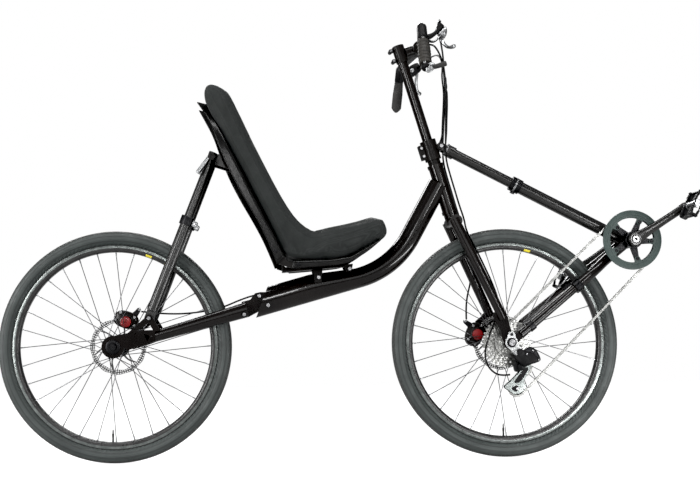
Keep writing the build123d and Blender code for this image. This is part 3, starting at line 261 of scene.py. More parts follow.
def tube(start, end, radius, steps=16, bevel=0.5):
    """A straight round bar with slightly rounded ends."""
    start, end = np.asarray(start, float), np.asarray(end, float)
    length = np.linalg.norm(end - start)
    line = [(radius - bevel, 0), (radius, bevel), (radius, length - bevel), (radius - bevel, length)]
    return turned(line, start, steps, end - start)


print("helpers ready; a plate has", cut_plate([(0, 0), (9, 0), (9, 9), (0, 9)], 0, 2).shape, "points")

# %% [markdown]
# The picture is taken from the drive side at about hub height, some three metres away, so the
# bicycle is almost in profile and the near pedal is a little larger than the far one.
# A longer lens would flatten it into a drawing; this one, a short telephoto, keeps the wheels round
# and lets the far handlebar grip show behind the near one.

# %% Camera
camera_place = np.array((373.0, -3050.0, 361.0))
picture_width, focal_length, moved_right, moved_up = 700, 1079.0, 46.3, 37.2
heading, pitch, roll = (math.radians(a) for a in (2.91, 2.75, -0.63))
ahead = np.array((math.sin(heading) * math.cos(pitch), math.cos(heading) * math.cos(pitch), math.sin(pitch)))
right = np.array((math.cos(heading), -math.sin(heading), 0.0))
above = np.cross(right, ahead)
tilted_right = math.cos(roll) * right + math.sin(roll) * above
tilted_up = -math.sin(roll) * right + math.cos(roll) * above
turn = Matrix(np.stack((tilted_right, tilted_up, -ahead), 1).tolist()).to_4x4()
camera = bpy.data.objects.new("camera", bpy.data.cameras.new("camera"))
camera.matrix_world = Matrix.Translation((camera_place - rider_place) / 1000) @ turn
camera.data.sensor_width = 36.0
camera.data.lens = focal_length / picture_width * camera.data.sensor_width
camera.data.shift_x, camera.data.shift_y = moved_right / picture_width, moved_up / picture_width
bpy.context.scene.collection.objects.link(camera)
bpy.context.scene.camera = camera
print("lens", round(camera.data.lens, 1), "mm")

# %% [markdown]
# Black paint shows nothing of itself: what is seen is the studio reflected in it.  So the lights
# come before the finishes.  The room is dim grey, which keeps the blacks deep, and what is bright
# in it is narrow: a long strip above, which draws the streak along the top of each tube, tall
# strips to the left and right, which draw one down each upright tube, and a low one close to the
# floor, which draws the thin line under the bend.  A wide, weak box in front opens the shadows.
# A sky picture would light everything at once, but it would turn gloss black into grey.

# %% Floor and lights
floor_half, floor_z = 4.0, -0.6402
floor = bpy.data.objects.new("floor", bpy.data.meshes.new("floor"))
corners = [(x * floor_half, y * floor_half, floor_z) for x, y in ((-1, -1), (1, -1), (1, 1), (-1, 1))]
floor.data.from_pydata(corners, [], [(0, 1, 2, 3)])
bpy.context.scene.collection.objects.link(floor)


def soft_light(name, place, aim, size, power):
    """A rectangular area light aimed at a point; places in metres from the rider."""
    lamp = bpy.data.lights.new(name, "AREA")
    lamp.shape, lamp.size, lamp.size_y, lamp.energy = "RECTANGLE", *size, power
    made = bpy.data.objects.new(name, lamp)
    made.location = place
    made.visible_camera = False
    made.rotation_mode = "QUATERNION"
    made.rotation_quaternion = (Vector(aim) - Vector(place)).to_track_quat("-Z", "Y")
    bpy.context.scene.collection.objects.link(made)


soft_light("long_top_strip", (0.1, -1.3, 2.9), (0.1, 0.0, 0.0), (4.4, 0.35), 115)
soft_light("left_strip", (-3.0, -2.9, 0.6), (0.0, 0.0, 0.0), (0.30, 2.6), 120)
soft_light("right_strip", (2.5, -4.3, 0.5), (0.2, 0.0, 0.0), (0.16, 1.5), 40)
soft_light("seat_patch", (-0.25, -4.4, 0.85), (-0.2, 0.0, 0.2), (0.30, 0.55), 14)
soft_light("low_front_box", (0.4, -4.6, 0.75), (0.2, 0.0, 0.0), (5.0, 1.4), 30)
soft_light("left_edge_strip", (-3.6, -0.6, 0.2), (0.3, 0.0, 0.0), (0.12, 2.4), 60)
soft_light("low_right_strip", (1.15, -0.75, -0.60), (0.45, 0.0, -0.1), (0.9, 0.10), 8)
soft_light("back_strip", (-0.4, 3.0, 2.0), (0.2, 0.0, 0.0), (3.6, 0.5), 95)

room_strength, sheet_strength, black_lift = 0.16, 1.0, 0.009
world = bpy.data.worlds.new("surround")
bpy.context.scene.world = world
world.use_nodes = True
room = world.node_tree
dim = room.nodes["Background"]
dim.inputs["Color"].default_value = (0.96, 0.98, 1.0, 1.0)
dim.inputs["Strength"].default_value = room_strength
sheet = room.nodes.new("ShaderNodeBackground")
sheet.inputs["Color"].default_value = (1.0, 1.0, 1.0, 1.0)
sheet.inputs["Strength"].default_value = sheet_strength
seen = room.nodes.new("ShaderNodeLightPath")
join = room.nodes.new("ShaderNodeMixShader")
room.links.new(seen.outputs["Is Camera Ray"], join.inputs[0])
room.links.new(dim.outputs[0], join.inputs[1])
room.links.new(sheet.outputs[0], join.inputs[2])
room.links.new(join.outputs[0], room.nodes["World Output"].inputs[0])
print_curve = bpy.context.scene.view_settings
print_curve.view_transform = "Standard"
print_curve.use_curve_mapping = True
print_curve.curve_mapping.black_level = (black_lift, black_lift, black_lift)
print_curve.curve_mapping.update()
print("floor at", floor_z, "m")

# %% [markdown]
# A finish is a recipe for one shader.  What is the same all over, such as how metallic a bolt is,
# is a number on the shader itself.  What changes from place to place comes from a pattern: a cloudy
# noise for handling marks, long noise for brushing, fine noise for the skin of a paint.
# Scanned surfaces would be quicker to look real, but they need unwrapping and break where
# two pieces meet.  A pattern in space has neither fault, so each recipe reads the object's own
# coordinates, in metres.

# %% Recipe helpers
def node(tree, kind, inputs=(), **settings):
    """A shader node with its settings, and each input either a number or another node's output."""
    made = tree.nodes.new(kind)
    for key, value in settings.items():
        setattr(made, key, value)
    for key, value in dict(inputs).items():
        if isinstance(value, bpy.types.NodeSocket):
            tree.links.new(value, made.inputs[key])
        else:
            made.inputs[key].default_value = value
    return made


def recipe(name, **even):
    """A material whose even values are set on the shader; returns it, its tree and its shader."""
    made = bpy.data.materials.new(name)
    made.use_nodes = True
    shader = made.node_tree.nodes["Principled BSDF"]
    for key, value in even.items():
        shader.inputs[key.replace("_", " ")].default_value = value
    return made, made.node_tree, shader


def clouds(tree, scale, detail=3.0, stretch=(1, 1, 1)):
    """Noise on the object's coordinates, drawn out where stretch is small."""
    where = node(tree, "ShaderNodeTexCoord").outputs["Object"]
    mapped = node(tree, "ShaderNodeMapping", {"Vector": where, "Scale": stretch}).outputs[0]
    noise = node(tree, "ShaderNodeTexNoise", {"Vector": mapped, "Scale": scale, "Detail": detail})
    return noise.outputs["Fac"]


def between(tree, amount, low, high, start=0.3, end=0.7):
    """A pattern's values from start to end, spread from low to high."""
    return node(tree, "ShaderNodeMapRange", {"Value": amount, "From Min": start, "From Max": end,
                                             "To Min": low, "To Max": high}).outputs[0]


def blend_colour(tree, amount, dark, light):
    """Two colours mixed by a pattern; either may be another colour's output."""
    mixed = node(tree, "ShaderNodeMix", {"Factor": amount}, data_type="RGBA")
    for socket, value in zip((mixed.inputs[6], mixed.inputs[7]), (dark, light)):
        if isinstance(value, bpy.types.NodeSocket):
            tree.links.new(value, socket)
        else:
            socket.default_value = (*value, 1.0)
    return mixed.outputs[2]


def mottled(tree, scale, detail, dark, light):
    """Two colours in soft patches."""
    return blend_colour(tree, between(tree, clouds(tree, scale, detail), 0, 1), dark, light)


def maths(tree, operation, *values):
    """One sum on patterns; each value is a number or another node's output."""
    return node(tree, "ShaderNodeMath", dict(enumerate(values)), operation=operation).outputs[0]


def own_map(tree):
    """The two coordinates of the piece's own map."""
    return node(tree, "ShaderNodeSeparateXYZ", {0: node(tree, "ShaderNodeTexCoord").outputs["UV"]}).outputs


def give(tree, shader, colour, patches, rough):
    """Links a colour to the shader, and a roughness that goes between two values with some patches."""
    tree.links.new(colour, shader.inputs["Base Color"])
    tree.links.new(between(tree, patches, *rough), shader.inputs["Roughness"])


def relief(tree, shader, height, distance, strength=1.0, below=None):
    """Bumps as high as distance, in metres, on top of another bump if there is one."""
    inputs = {"Height": height, "Distance": distance, "Strength": strength}
    if below is not None:
        inputs["Normal"] = below
    made = node(tree, "ShaderNodeBump", inputs).outputs[0]
    tree.links.new(made, shader.inputs["Normal"])
    return made


# %% [markdown]
# The main tube, the head tube, the fork and the stays wear a deep gloss black.  Real gloss paint is
# colour under clear lacquer, so the recipe is the same: a rough, almost black base with a warm cast,
# and a smooth coat over it whose faint ripple, called orange peel, keeps reflections from being
# perfectly straight.

# %% Gloss and satin paint
def paint(name, dark, light, rough, coat, peel, shine=0.10):
    """Paint: cloudy base colour and roughness under a rippled coat."""
    made, tree, shader = recipe(name, Coat_Weight=coat, Coat_Roughness=0.03, Specular_IOR_Level=shine)
    give(tree, shader, mottled(tree, 9.0, 4.0, dark, light), clouds(tree, 34.0, 5.0), rough)
    relief(tree, shader, clouds(tree, 420.0, 2.0), peel, 0.35)
    return made


gloss_black = paint("gloss_black_paint", (0.0040, 0.0034, 0.0033), (0.0080, 0.0066, 0.0062), (0.20, 0.30),
                    coat=0.42, peel=0.000004)
satin_black = paint("satin_black_paint", (0.0060, 0.0054, 0.0052), (0.0115, 0.0105, 0.0100), (0.26, 0.38),
                    coat=0.05, peel=0.000006)
sleek_black = paint("sleek_black_anodising", (0.0060, 0.0058, 0.0056), (0.0110, 0.0105, 0.0100), (0.25, 0.27),
                    coat=0.0, peel=0.000001, shine=0.5)
print("paints:", gloss_black.name, satin_black.name)

# %% [markdown]
# Bare metal shows how it was made.  Collars and levers are brushed, bolts are bright from a die,
# the chain is dulled by oil, and anodised parts are metal seen through a thin dye.
# All of them are one recipe with other numbers: a metallic base that is mottled a little, a
# roughness that is uneven where hands and tools have been, and fine scratches drawn out along x.

# %% Metals
drawn_out = (1, 6, 6)


def metal(name, dark, light, rough, scratch=0.00002):
    """Metal: mottled colour, uneven roughness and drawn-out scratches."""
    made, tree, shader = recipe(name, Metallic=1.0)
    give(tree, shader, mottled(tree, 55.0, 5.0, dark, light), clouds(tree, 90.0, 4.0, drawn_out), rough)
    relief(tree, shader, clouds(tree, 180.0, 3.0, drawn_out), scratch, 0.5)
    return made


bright_steel = metal("bright_steel", (0.34, 0.34, 0.345), (0.50, 0.50, 0.51), (0.16, 0.32))
lug_steel = metal("bare_lug_steel", (0.50, 0.51, 0.51), (0.68, 0.69, 0.69), (0.20, 0.34))
disc_steel = metal("ground_disc_steel", (0.10, 0.10, 0.10), (0.20, 0.20, 0.20), (0.24, 0.38))
cage_steel = metal("grey_green_cage_steel", (0.14, 0.153, 0.15), (0.30, 0.32, 0.313), (0.22, 0.34))
brushed_alloy = metal("brushed_alloy", (0.24, 0.245, 0.25), (0.36, 0.365, 0.37), (0.26, 0.42),
                      scratch=0.00004)
cog_steel = metal("cog_steel", (0.26, 0.26, 0.25), (0.46, 0.46, 0.445), (0.22, 0.40))
oiled_steel = metal("oiled_chain_steel", (0.13, 0.13, 0.125), (0.30, 0.30, 0.292), (0.24, 0.45))
spoke_steel = metal("drawn_spoke_steel", (0.06, 0.06, 0.063), (0.12, 0.12, 0.123), (0.24, 0.36))
black_anodised = metal("black_anodised_alloy", (0.012, 0.012, 0.013), (0.026, 0.026, 0.027), (0.30, 0.46))
print("metals:", [m.name for m in bpy.data.materials if m.name.endswith(("steel", "alloy"))])

# %% [markdown]
# Plastics and rubbers scatter light just under their skin, and most are moulded with a fine grain so
# that they don't show fingerprints.  The grain is a small cell pattern; the colour varies only a
# little, and edges that are handled are polished by the roughness pattern rather than painted.

# %% Plastics and rubbers
def moulded(name, dark, light, rough, grain_size, grain_depth, coat=0.0, shine=0.22):
    """Plastic or rubber: cloudy colour, uneven roughness and a pebbled skin of small cells."""
    made, tree, shader = recipe(name, Coat_Weight=coat, Coat_Roughness=0.12, Specular_IOR_Level=shine)
    give(tree, shader, mottled(tree, 22.0, 5.0, dark, light), clouds(tree, 60.0, 3.0), rough)
    where = node(tree, "ShaderNodeTexCoord").outputs["Object"]
    cells = node(tree, "ShaderNodeTexVoronoi", {"Vector": where, "Scale": 1.0 / grain_size})
    relief(tree, shader, cells.outputs["Distance"], grain_depth, 0.5)
    return made


shell_plastic = moulded("satin_shell_plastic", (0.0045, 0.0045, 0.0044), (0.0095, 0.0094, 0.0092),
                        (0.20, 0.28), grain_size=0.0016, grain_depth=0.00002, coat=0.02, shine=0.14)
black_plastic = moulded("black_moulded_plastic", (0.004, 0.004, 0.0043), (0.009, 0.009, 0.0094),
                        (0.38, 0.55), grain_size=0.0009, grain_depth=0.00006, shine=0.12)
guard_plastic = moulded("grey_green_guard", (0.030, 0.0415, 0.039), (0.043, 0.059, 0.055),
                        (0.34, 0.50), grain_size=0.0012, grain_depth=0.00005)
cable_skin = moulded("cable_housing", (0.002, 0.002, 0.002), (0.005, 0.005, 0.005),
                     (0.30, 0.42), grain_size=0.0011, grain_depth=0.00003, shine=0.10)
grip_rubber = moulded("ribbed_grip_rubber", (0.020, 0.020, 0.020), (0.046, 0.044, 0.042),
                      (0.55, 0.75), grain_size=0.0011, grain_depth=0.00012)
red_plastic = moulded("red_knob_plastic", (0.13, 0.010, 0.012), (0.23, 0.018, 0.019),
                      (0.30, 0.45), grain_size=0.0012, grain_depth=0.00006, coat=0.2)
print("plastics:", len([m for m in bpy.data.materials if "plastic" in m.name or "rubber" in m.name]))

# %% [markdown]
# Tyre rubber is not black.  Its side wall is a greyish green-black with faint moulded rings in its relief,
# and dark bands across it are painted shade, standing in for the shade of its curves; the part that touches
# the road is duller and slightly paler with dust.  The rings and the painted shade bands follow the tyre, so
# this recipe reads the tyre's own map: the first coordinate runs across the tyre from bead to bead, the
# second once round the wheel.

# %% Tyre rubber
def folded(tree, across):
    """The map's first coordinate folded about its middle, so that both sides match."""
    return maths(tree, "ABSOLUTE", maths(tree, "SUBTRACT", across, 0.5))


def tyre_recipe():
    """Rubber whose relief rings and painted shade bands are sines of the map's first coordinate, and whose
    dust is on its middle.
    """
    made, tree, shader = recipe("tyre_rubber", Specular_IOR_Level=0.45)
    across = own_map(tree)[0]
    off_middle = folded(tree, across)
    dust = between(tree, off_middle, 1.0, 0.0, start=0.10, end=0.22)
    side = mottled(tree, 14.0, 5.0, (0.0235, 0.0290, 0.0278), (0.0405, 0.0485, 0.0465))
    dusty = mottled(tree, 120.0, 4.0, (0.020, 0.0220, 0.0212), (0.038, 0.0395, 0.0380))
    # Painted shade: dark bands across the side wall, a sine of the distance from the tread's middle, in place
    # of the shade of its curves.
    bands = maths(tree, "SINE", maths(tree, "MULTIPLY", off_middle, 58.0))
    painted_shade_bands = between(tree, bands, 0.0, 0.62, start=0.2, end=0.9)
    side = blend_colour(tree, painted_shade_bands, side, (0.008, 0.0098, 0.0093))
    give(tree, shader, blend_colour(tree, dust, side, dusty), clouds(tree, 40.0, 4.0), (0.42, 0.66))
    rings = maths(tree, "SINE", maths(tree, "MULTIPLY", across, 190.0))
    first = relief(tree, shader, rings, 0.00025, 0.6)
    relief(tree, shader, clouds(tree, 500.0, 2.0), 0.00010, 0.5, first)
    return made


tyre_rubber = tyre_recipe()

# %% [markdown]
# A rim is black anodised, but its two brake bands are machined back to bare metal, and one plain
# yellow block is printed beside them.  The rim's map gives both: the first coordinate runs across
# the rim's outline, so a narrow part of it is the band, and the second runs round the wheel, so a
# short part of it is the block.

# %% Rim
def share_of(tree, value, low, high):
    """1 where a value is between two limits, with no blur, and 0 elsewhere."""
    return maths(tree, "MULTIPLY", maths(tree, "GREATER_THAN", value, low),
                 maths(tree, "LESS_THAN", value, high))


band_limits, block_limits, block_half = (0.192, 0.258), (0.075, 0.150), 0.0052


def rim_recipe(block_centre):
    """Black dye, bare bands with turning lines, and a yellow block at a share of the turn."""
    made, tree, shader = recipe("rim_black_and_machined")
    across, round_ = own_map(tree)[:2]
    side = folded(tree, across)
    band = share_of(tree, side, *band_limits)
    black = mottled(tree, 30.0, 4.0, (0.010, 0.010, 0.010), (0.022, 0.021, 0.021))
    bare = mottled(tree, 70.0, 5.0, (0.11, 0.122, 0.118), (0.21, 0.226, 0.22))
    on_turn = share_of(tree, round_, block_centre - block_half, block_centre + block_half)
    block = maths(tree, "MULTIPLY", on_turn, share_of(tree, side, *block_limits))
    coloured = blend_colour(tree, block, blend_colour(tree, band, black, bare), (0.62, 0.52, 0.03))
    give(tree, shader, coloured, clouds(tree, 50.0, 4.0), (0.22, 0.36))
    tree.links.new(maths(tree, "MULTIPLY", band, 0.95), shader.inputs["Metallic"])
    relief(tree, shader, maths(tree, "SINE", maths(tree, "MULTIPLY", across, 900.0)), 0.00002, 0.5)
    return made


block_centres = {"rear": 0.806, "front": 0.790}
rim_finishes = {end: rim_recipe(centre) for end, centre in block_centres.items()}
print("rim blocks at", block_centres)

# %% [markdown]
# The cushion's cover is a charcoal stretch cloth: a fine, tight weave with a soft sheen where it
# turns away from the eye.  Two crossed sine waves make the weave, and since they are worked out in
# space, a sewn and stuffed form needs no unwrapping.  The sheen is the shader's own.

# %% Seat cloth
def cloth_recipe():
    """Crossed threads: the product of waves along two directions, with clouds of wear."""
    made, tree, shader = recipe("charcoal_stretch_cloth", Sheen_Weight=0.07, Sheen_Roughness=0.45,
                                Specular_IOR_Level=0.25)
    where = node(tree, "ShaderNodeTexCoord").outputs["Object"]
    slant = (0, math.radians(38), 0)
    slanted = node(tree, "ShaderNodeMapping", {"Vector": where, "Rotation": slant}).outputs[0]
    thread = {"Scale": 190.0, "Distortion": 0.6, "Detail": 1.0}
    warp, weft = (
        node(tree, "ShaderNodeTexWave", {"Vector": way, **thread}, bands_direction=axis).outputs["Fac"]
        for way, axis in ((where, "Y"), (slanted, "Z")))
    weave = maths(tree, "MULTIPLY", warp, weft)
    worn = mottled(tree, 6.0, 5.0, (0.0068, 0.0078, 0.0076), (0.0120, 0.0136, 0.0132))
    threads = blend_colour(tree, weave, worn, (0.021, 0.0238, 0.0230))
    give(tree, shader, threads, clouds(tree, 25.0, 4.0), (0.62, 0.84))
    first = relief(tree, shader, weave, 0.00035, 0.6)
    relief(tree, shader, clouds(tree, 13.0, 3.0), 0.0016, 0.35, first)
    return made


seat_cloth = cloth_recipe()

# %% [markdown]
# Handlebar tape is a ribbon wound round the bar.  Its look is in the overlaps, which the grip's own
# map gives as slanted lines, and in a dull brown-black skin with tiny pores.

# %% Handlebar tape
def tape_recipe():
    """Slanted steps from the map: the fraction of (along·turns + round), and pores between."""
    made, tree, shader = recipe("brown_black_bar_tape")
    along, round_ = own_map(tree)[:2]
    step = maths(tree, "FRACT", maths(tree, "MULTIPLY_ADD", along, 7.0, round_))
    edge = between(tree, step, 0.0, 1.0, start=0.0, end=0.10)
    pale = mottled(tree, 60.0, 5.0, (0.008, 0.0066, 0.005), (0.015, 0.0125, 0.0092))
    colour = blend_colour(tree, edge, (0.004, 0.0036, 0.0032), pale)
    give(tree, shader, colour, clouds(tree, 90.0, 4.0), (0.55, 0.78))
    first = relief(tree, shader, edge, 0.0006, 0.8)
    relief(tree, shader, clouds(tree, 700.0, 2.0), 0.00012, 0.6, first)
    return made


bar_tape = tape_recipe()

# %% [markdown]
# The floor is a plain pale studio sheet.  It is almost as bright as the surround, so that its edge
# disappears and only a soft shadow shows where the tyres stand.

# %% Floor sheet
def floor_recipe():
    """Matt off-white with a very faint cloud; it glows so that its far edge melts away, and glows
    less in reflections, so that the undersides of gloss tubes stay black."""
    made, tree, shader = recipe("pale_studio_floor", Specular_IOR_Level=0.1)
    seen = node(tree, "ShaderNodeLightPath").outputs["Is Camera Ray"]
    glow = between(tree, seen, 0.28, 0.86, start=0.0, end=1.0)
    tree.links.new(glow, shader.inputs["Emission Strength"])
    shader.inputs["Emission Color"].default_value = (1.0, 1.0, 1.0, 1.0)
    pale = blend_colour(tree, clouds(tree, 0.7, 3.0), (0.34, 0.34, 0.34), (0.38, 0.38, 0.38))
    give(tree, shader, pale, clouds(tree, 2.0), (0.8, 0.95))
    return made


floor.data.materials.append(floor_recipe())
print(len(bpy.data.materials), "materials")

# %% [markdown]
# Most tubes, bolts and brackets keep the shape that the engineering model gives them, so all they
# need is a finish.  A table of finish and nodes is easier to check than a list of commands, and a
# piece that is made again further down simply takes its node's place.

# %% Finishes of the model's own parts
finish_table = [
    (gloss_black, "main_tube head_tube rear_stay_left rear_stay_right rear_yoke fork riser_post "
                  "drive_stay_tubes drive_stay_legs"),
    (satin_black, "boom_clamp stem handlebar seat_brackets seat_top_bracket cranks "
                  "front_brake_caliper rear_brake_caliper"),
    (sleek_black, "boom_inner boom_outer seat_strut_lower seat_strut_upper"),
    (black_anodised, "slide_collars strut_collars front_hub rear_hub rear_axle frame_bolts front_bolts"),
    (brushed_alloy, "brake_blades"), (bright_steel, "front_axle"), (disc_steel, "front_rotor rear_rotor"),
    (cog_steel, "cassette chainring"), (oiled_steel, "chain"), (spoke_steel, "front_spokes rear_spokes"),
    (rim_finishes["front"], "front_rim rear_rim"), (tyre_rubber, "front_tyre rear_tyre"),
    (seat_cloth, "seat_pad"), (shell_plastic, "seat_shell seat_pan"), (guard_plastic, "chain_guard"),
    (bar_tape, "grips"), (cable_skin, "shift_cable front_brake_cable lever_brake_cable rear_brake_cable"),
    (black_plastic, "bar_controls derailleur_body derailleur_cage jockey_wheels "
                    "pedal_left_body pedal_right_body"),
]
finish_of = {name: finish for finish, names in finish_table for name in names.split()}
for name, finish in finish_of.items():
    nodes[name].data.materials.clear()
    nodes[name].data.materials.append(finish)
print("nodes without a finish:", sorted(set(nodes) - set(finish_of)))

# %% [markdown]
# A street tyre is a casing about as tall as it is wide, with a tread moulded on its outside.
# Its outline goes round the axle; the tread is then pressed in by making some columns of the grid
# a little smaller in radius: slanted grooves on the shoulders, and two shallow ones round the wheel.
# A bump map alone would leave the edge of the tyre perfectly smooth against the pale floor, which
# is just where a real tread shows.

# %% Tyres
tread_blocks, columns_in_block = 150, 6
groove_depth, groove_slant, groove_share = 1.3, 0.11, 0.30
shoulder_from, shoulder_to = 6.5, 18.5
line_at, line_half = 5.0, 0.9
casing = [(281.0, 9.4), (286.2, 10.6), (289.5, 15.0), (295.0, 20.3), (301.5, 23.0), (308.5, 23.0),
          (314.5, 21.0), (318.4, 17.4), (321.2, 13.0), (323.0, 7.4), (323.9, 2.4)]
skin = eased(casing + [(r, -y) for r, y in reversed(casing)], 2)
lining_half = [(281.0, 8.2), (289.0, 9.4), (298.0, 18.6), (309.0, 20.4), (318.0, 12.0)]
lining = [(r, -y) for r, y in lining_half] + [(320.6, 0.0)] + lining_half[::-1]


def tyre_grids(centre):
    """Outer skin and lining: rings of radius r - depth·groove, where groove is 1 on slanted bars of
    the shoulder and on two lines round the tread."""
    turns = np.linspace(0, 1, tread_blocks * columns_in_block + 1)[None, :]
    r, y = skin[:, :1], skin[:, 1:]
    side = np.abs(y)
    in_bar = (turns * tread_blocks + side * groove_slant + 0.5 * (y > 0)) % 1.0 < groove_share
    in_line = np.abs(side - line_at) < line_half
    depth = groove_depth * (in_bar & (side > shoulder_from) & (side < shoulder_to) | in_line)
    outer = around(r - depth, turns * 2 * math.pi, y)
    inner = turned(np.concatenate((skin[-1:], lining, skin[:1])), (0, 0, 0), 120)
    across = run_length(skin)
    skin_map = np.stack(np.broadcast_arrays((across / across[-1])[:, None], turns), -1)
    return [centre + outer, centre + inner], [skin_map, np.zeros((*inner.shape[:2], 2))]


for end, axle in wheel_axles.items():
    grids, maps = tyre_grids(axle)
    made = piece(f"{end}_tread_tyre", f"{end}_wheel", tyre_rubber, *grids, maps=maps, angle=30,
                 stands_for=[f"{end}_tyre"], slot="tyre")
    print(made.name, len(made.data.polygons), "faces")

# %% [markdown]
# The rim is one extrusion, rolled into a hoop: two flanges that hold the tyre, a brake band on each
# side and a bed for the spokes.  Its outline is a closed line, so the whole rim is a single closed
# tube of that section, with its map's first coordinate measured along the outline.

# %% Rims
rim_half = [(264.7, 0.0), (264.9, 4.5), (266.6, 9.2), (269.6, 12.0), (272.4, 12.9), (284.0, 12.9),
            (285.0, 12.4), (284.9, 11.2), (283.6, 10.9), (281.0, 11.2), (276.5, 10.9), (272.6, 9.2),
            (269.4, 6.0), (268.3, 0.0)]
rim_outline = np.array(mirrored(rim_half) + rim_half[:1])
rim_steps = 240


def rim_grid(centre):
    """The outline's rings, and their map: the outline's own length along, the turn round."""
    run = run_length(rim_outline)
    share = (run / run[-1] + 0.5) % 1.0
    share[-1] = 0.5
    rim_map = np.stack(np.broadcast_arrays(share[:, None], np.linspace(0, 1, rim_steps + 1)[None, :]), -1)
    return turned(rim_outline, centre, rim_steps), rim_map


for end, axle in wheel_axles.items():
    hoop, rim_map = rim_grid(axle)
    piece(f"{end}_machined_rim", f"{end}_wheel", rim_finishes[end], hoop, maps=[rim_map], angle=30,
          stands_for=[f"{end}_rim"], slot="rim_black")
print("rim outline of", len(rim_outline), "points")

# %% [markdown]
# A wheel hangs in its spokes.  Sixteen on each side leave the hub's flange in turn forward and
# back, cross their neighbours, and screw into nipples in the rim.  All thirty-two follow one
# formula, so they are one array: the hole's angle, the rim's angle three holes on, and a thin bar
# between.  Each has its elbow through the flange and its nipple at the rim.

# %% Spokes, nipples and valves
flanges = {"rear": (33.0, -33.0), "front": (33.0, -20.0)}
side_holes, crossing = 16, 3
hole_radius, seat_radius = 25.6, 264.6
holes = np.arange(side_holes)
lean = np.where(holes % 2, 1.0, -1.0)


def bars(starts, ends, profile, steps=8):
    """Round bars from many starts to many ends at once: each (radius, share) of the profile is a
    ring at start + share·(end - start)."""
    way = ends - starts
    along = unit(way)
    across = unit(np.cross(along, np.array((0.31, 0.87, 0.38))))
    up = np.cross(along, across)
    rings = circle(steps)
    radius, share = np.asarray(profile, float).T
    turn = np.cos(rings)[:, None] * across[:, None, None] + np.sin(rings)[:, None] * up[:, None, None]
    return starts[:, None, None] + share[:, None, None] * way[:, None, None] + radius[:, None, None] * turn


def lacing(centre, end):
    """Where each spoke leaves its flange, where it reaches the rim, and both ends of its elbow."""
    starts, ends, elbows = [], [], []
    for side, flange in enumerate(flanges[end]):
        hole = 2 * math.pi * (holes / side_holes + side / (2 * side_holes))
        tip = hole + lean * 2 * math.pi * crossing / side_holes
        outside = around(hole_radius, hole, flange + lean * 2.7)
        starts.append(centre + outside)
        ends.append(centre + around(seat_radius, tip, math.copysign(2.0, flange)))
        elbows.append(np.stack((outside, around(hole_radius, hole, flange - lean * 3.4))) + centre)
    return np.concatenate(starts), np.concatenate(ends), np.concatenate(elbows, 1)


thin = [(0, 0), (1.2, 0), (1.2, 0.08), (1.1, 0.12), (1.1, 0.90), (1.2, 0.93), (1.2, 1), (0, 1)]
elbow = [(0, -0.1), (1.1, -0.1), (1.1, 0.86), (1.9, 0.9), (1.9, 1.0), (0, 1.05)]
nipple = [(0, 0), (1.5, 0), (1.7, 0.15), (1.9, 0.5), (2.1, 1), (0, 1)]
valve = [(0, 34), (1.6, 33.6), (1.7, 30), (1.2, 29.6), (2.0, 29), (2.0, 22), (3.0, 21.4), (3.0, 13),
         (2.6, 12.6), (2.6, -0.5), (3.6, -0.6), (0, -0.6)]
for end, axle in wheel_axles.items():
    starts, ends, elbows = lacing(axle, end)
    piece(f"{end}_laced_spokes", f"{end}_wheel", spoke_steel, bars(starts, ends, thin), bars(*elbows, elbow),
          stands_for=[f"{end}_spokes"], slot="steel", close=False)
    way = unit(ends - starts)
    seat = ends + way * 0.6
    piece(f"{end}_nipples", f"{end}_wheel", brushed_alloy, bars(seat - way * 13.0, seat, nipple),
          slot="steel", close=False)
    stem_foot = beside(axle, -9.0, 0.0, -264.0)
    piece(f"{end}_valve", f"{end}_wheel", black_plastic, turned(valve, stem_foot, 12, (0, 0, 1)),
          slot="rim_black", close=False)
print("spokes in each wheel:", len(starts))

# %% [markdown]
# Each hub is turned from one bar: thin ends for the bearings, two flanges for the spokes and a
# waisted barrel between them.  The front one carries the driving cogs on its right.

# %% Hubs
hub_end = 65.8
flange_rim = [(28.2, -1.6), (29.0, -0.8), (29.0, 0.8), (28.2, 1.6)]


def hub_outline(left, right):
    """Radius and place along the axle, from the right end to the left; the barrel is waisted."""
    right_rim, left_rim = ([(r, flange + y) for r, y in flange_rim] for flange in (right, left))
    return [(5.2, -hub_end), (9.4, -hub_end), (10.0, -65.2), (10.0, -45.0), (12.5, right - 8),
            (16.0, right - 4), (18.0, right - 1.8), *right_rim, (19.0, right + 1.8), (14.5, right + 8),
            (13.2, (left + right) / 2), (14.5, left - 8), (19.0, left - 1.8), *left_rim, (18.0, left + 1.8),
            (16.0, left + 5), (13.0, left + 9), (10.0, 49.0), (10.0, 65.2), (9.4, hub_end), (5.2, hub_end),
            (5.2, -hub_end)]


for end, axle in wheel_axles.items():
    piece(f"{end}_turned_hub", f"{end}_wheel", black_anodised, turned(hub_outline(*flanges[end]), axle, 48),
          stands_for=[f"{end}_hub"], slot="rim_black", angle=30)
print("hubs:", flanges)

# %% [markdown]
# A brake disc is stamped from sheet steel: a track full of round holes, which let water out and
# keep it light, on arms that run back to the hub.  Each hole is one cell of the track.  The cell's
# square edge is joined to its round hole by rows of points, and because neighbours share their
# edges, the cells close up into one sheet.  Solidify then gives the sheet its thickness.

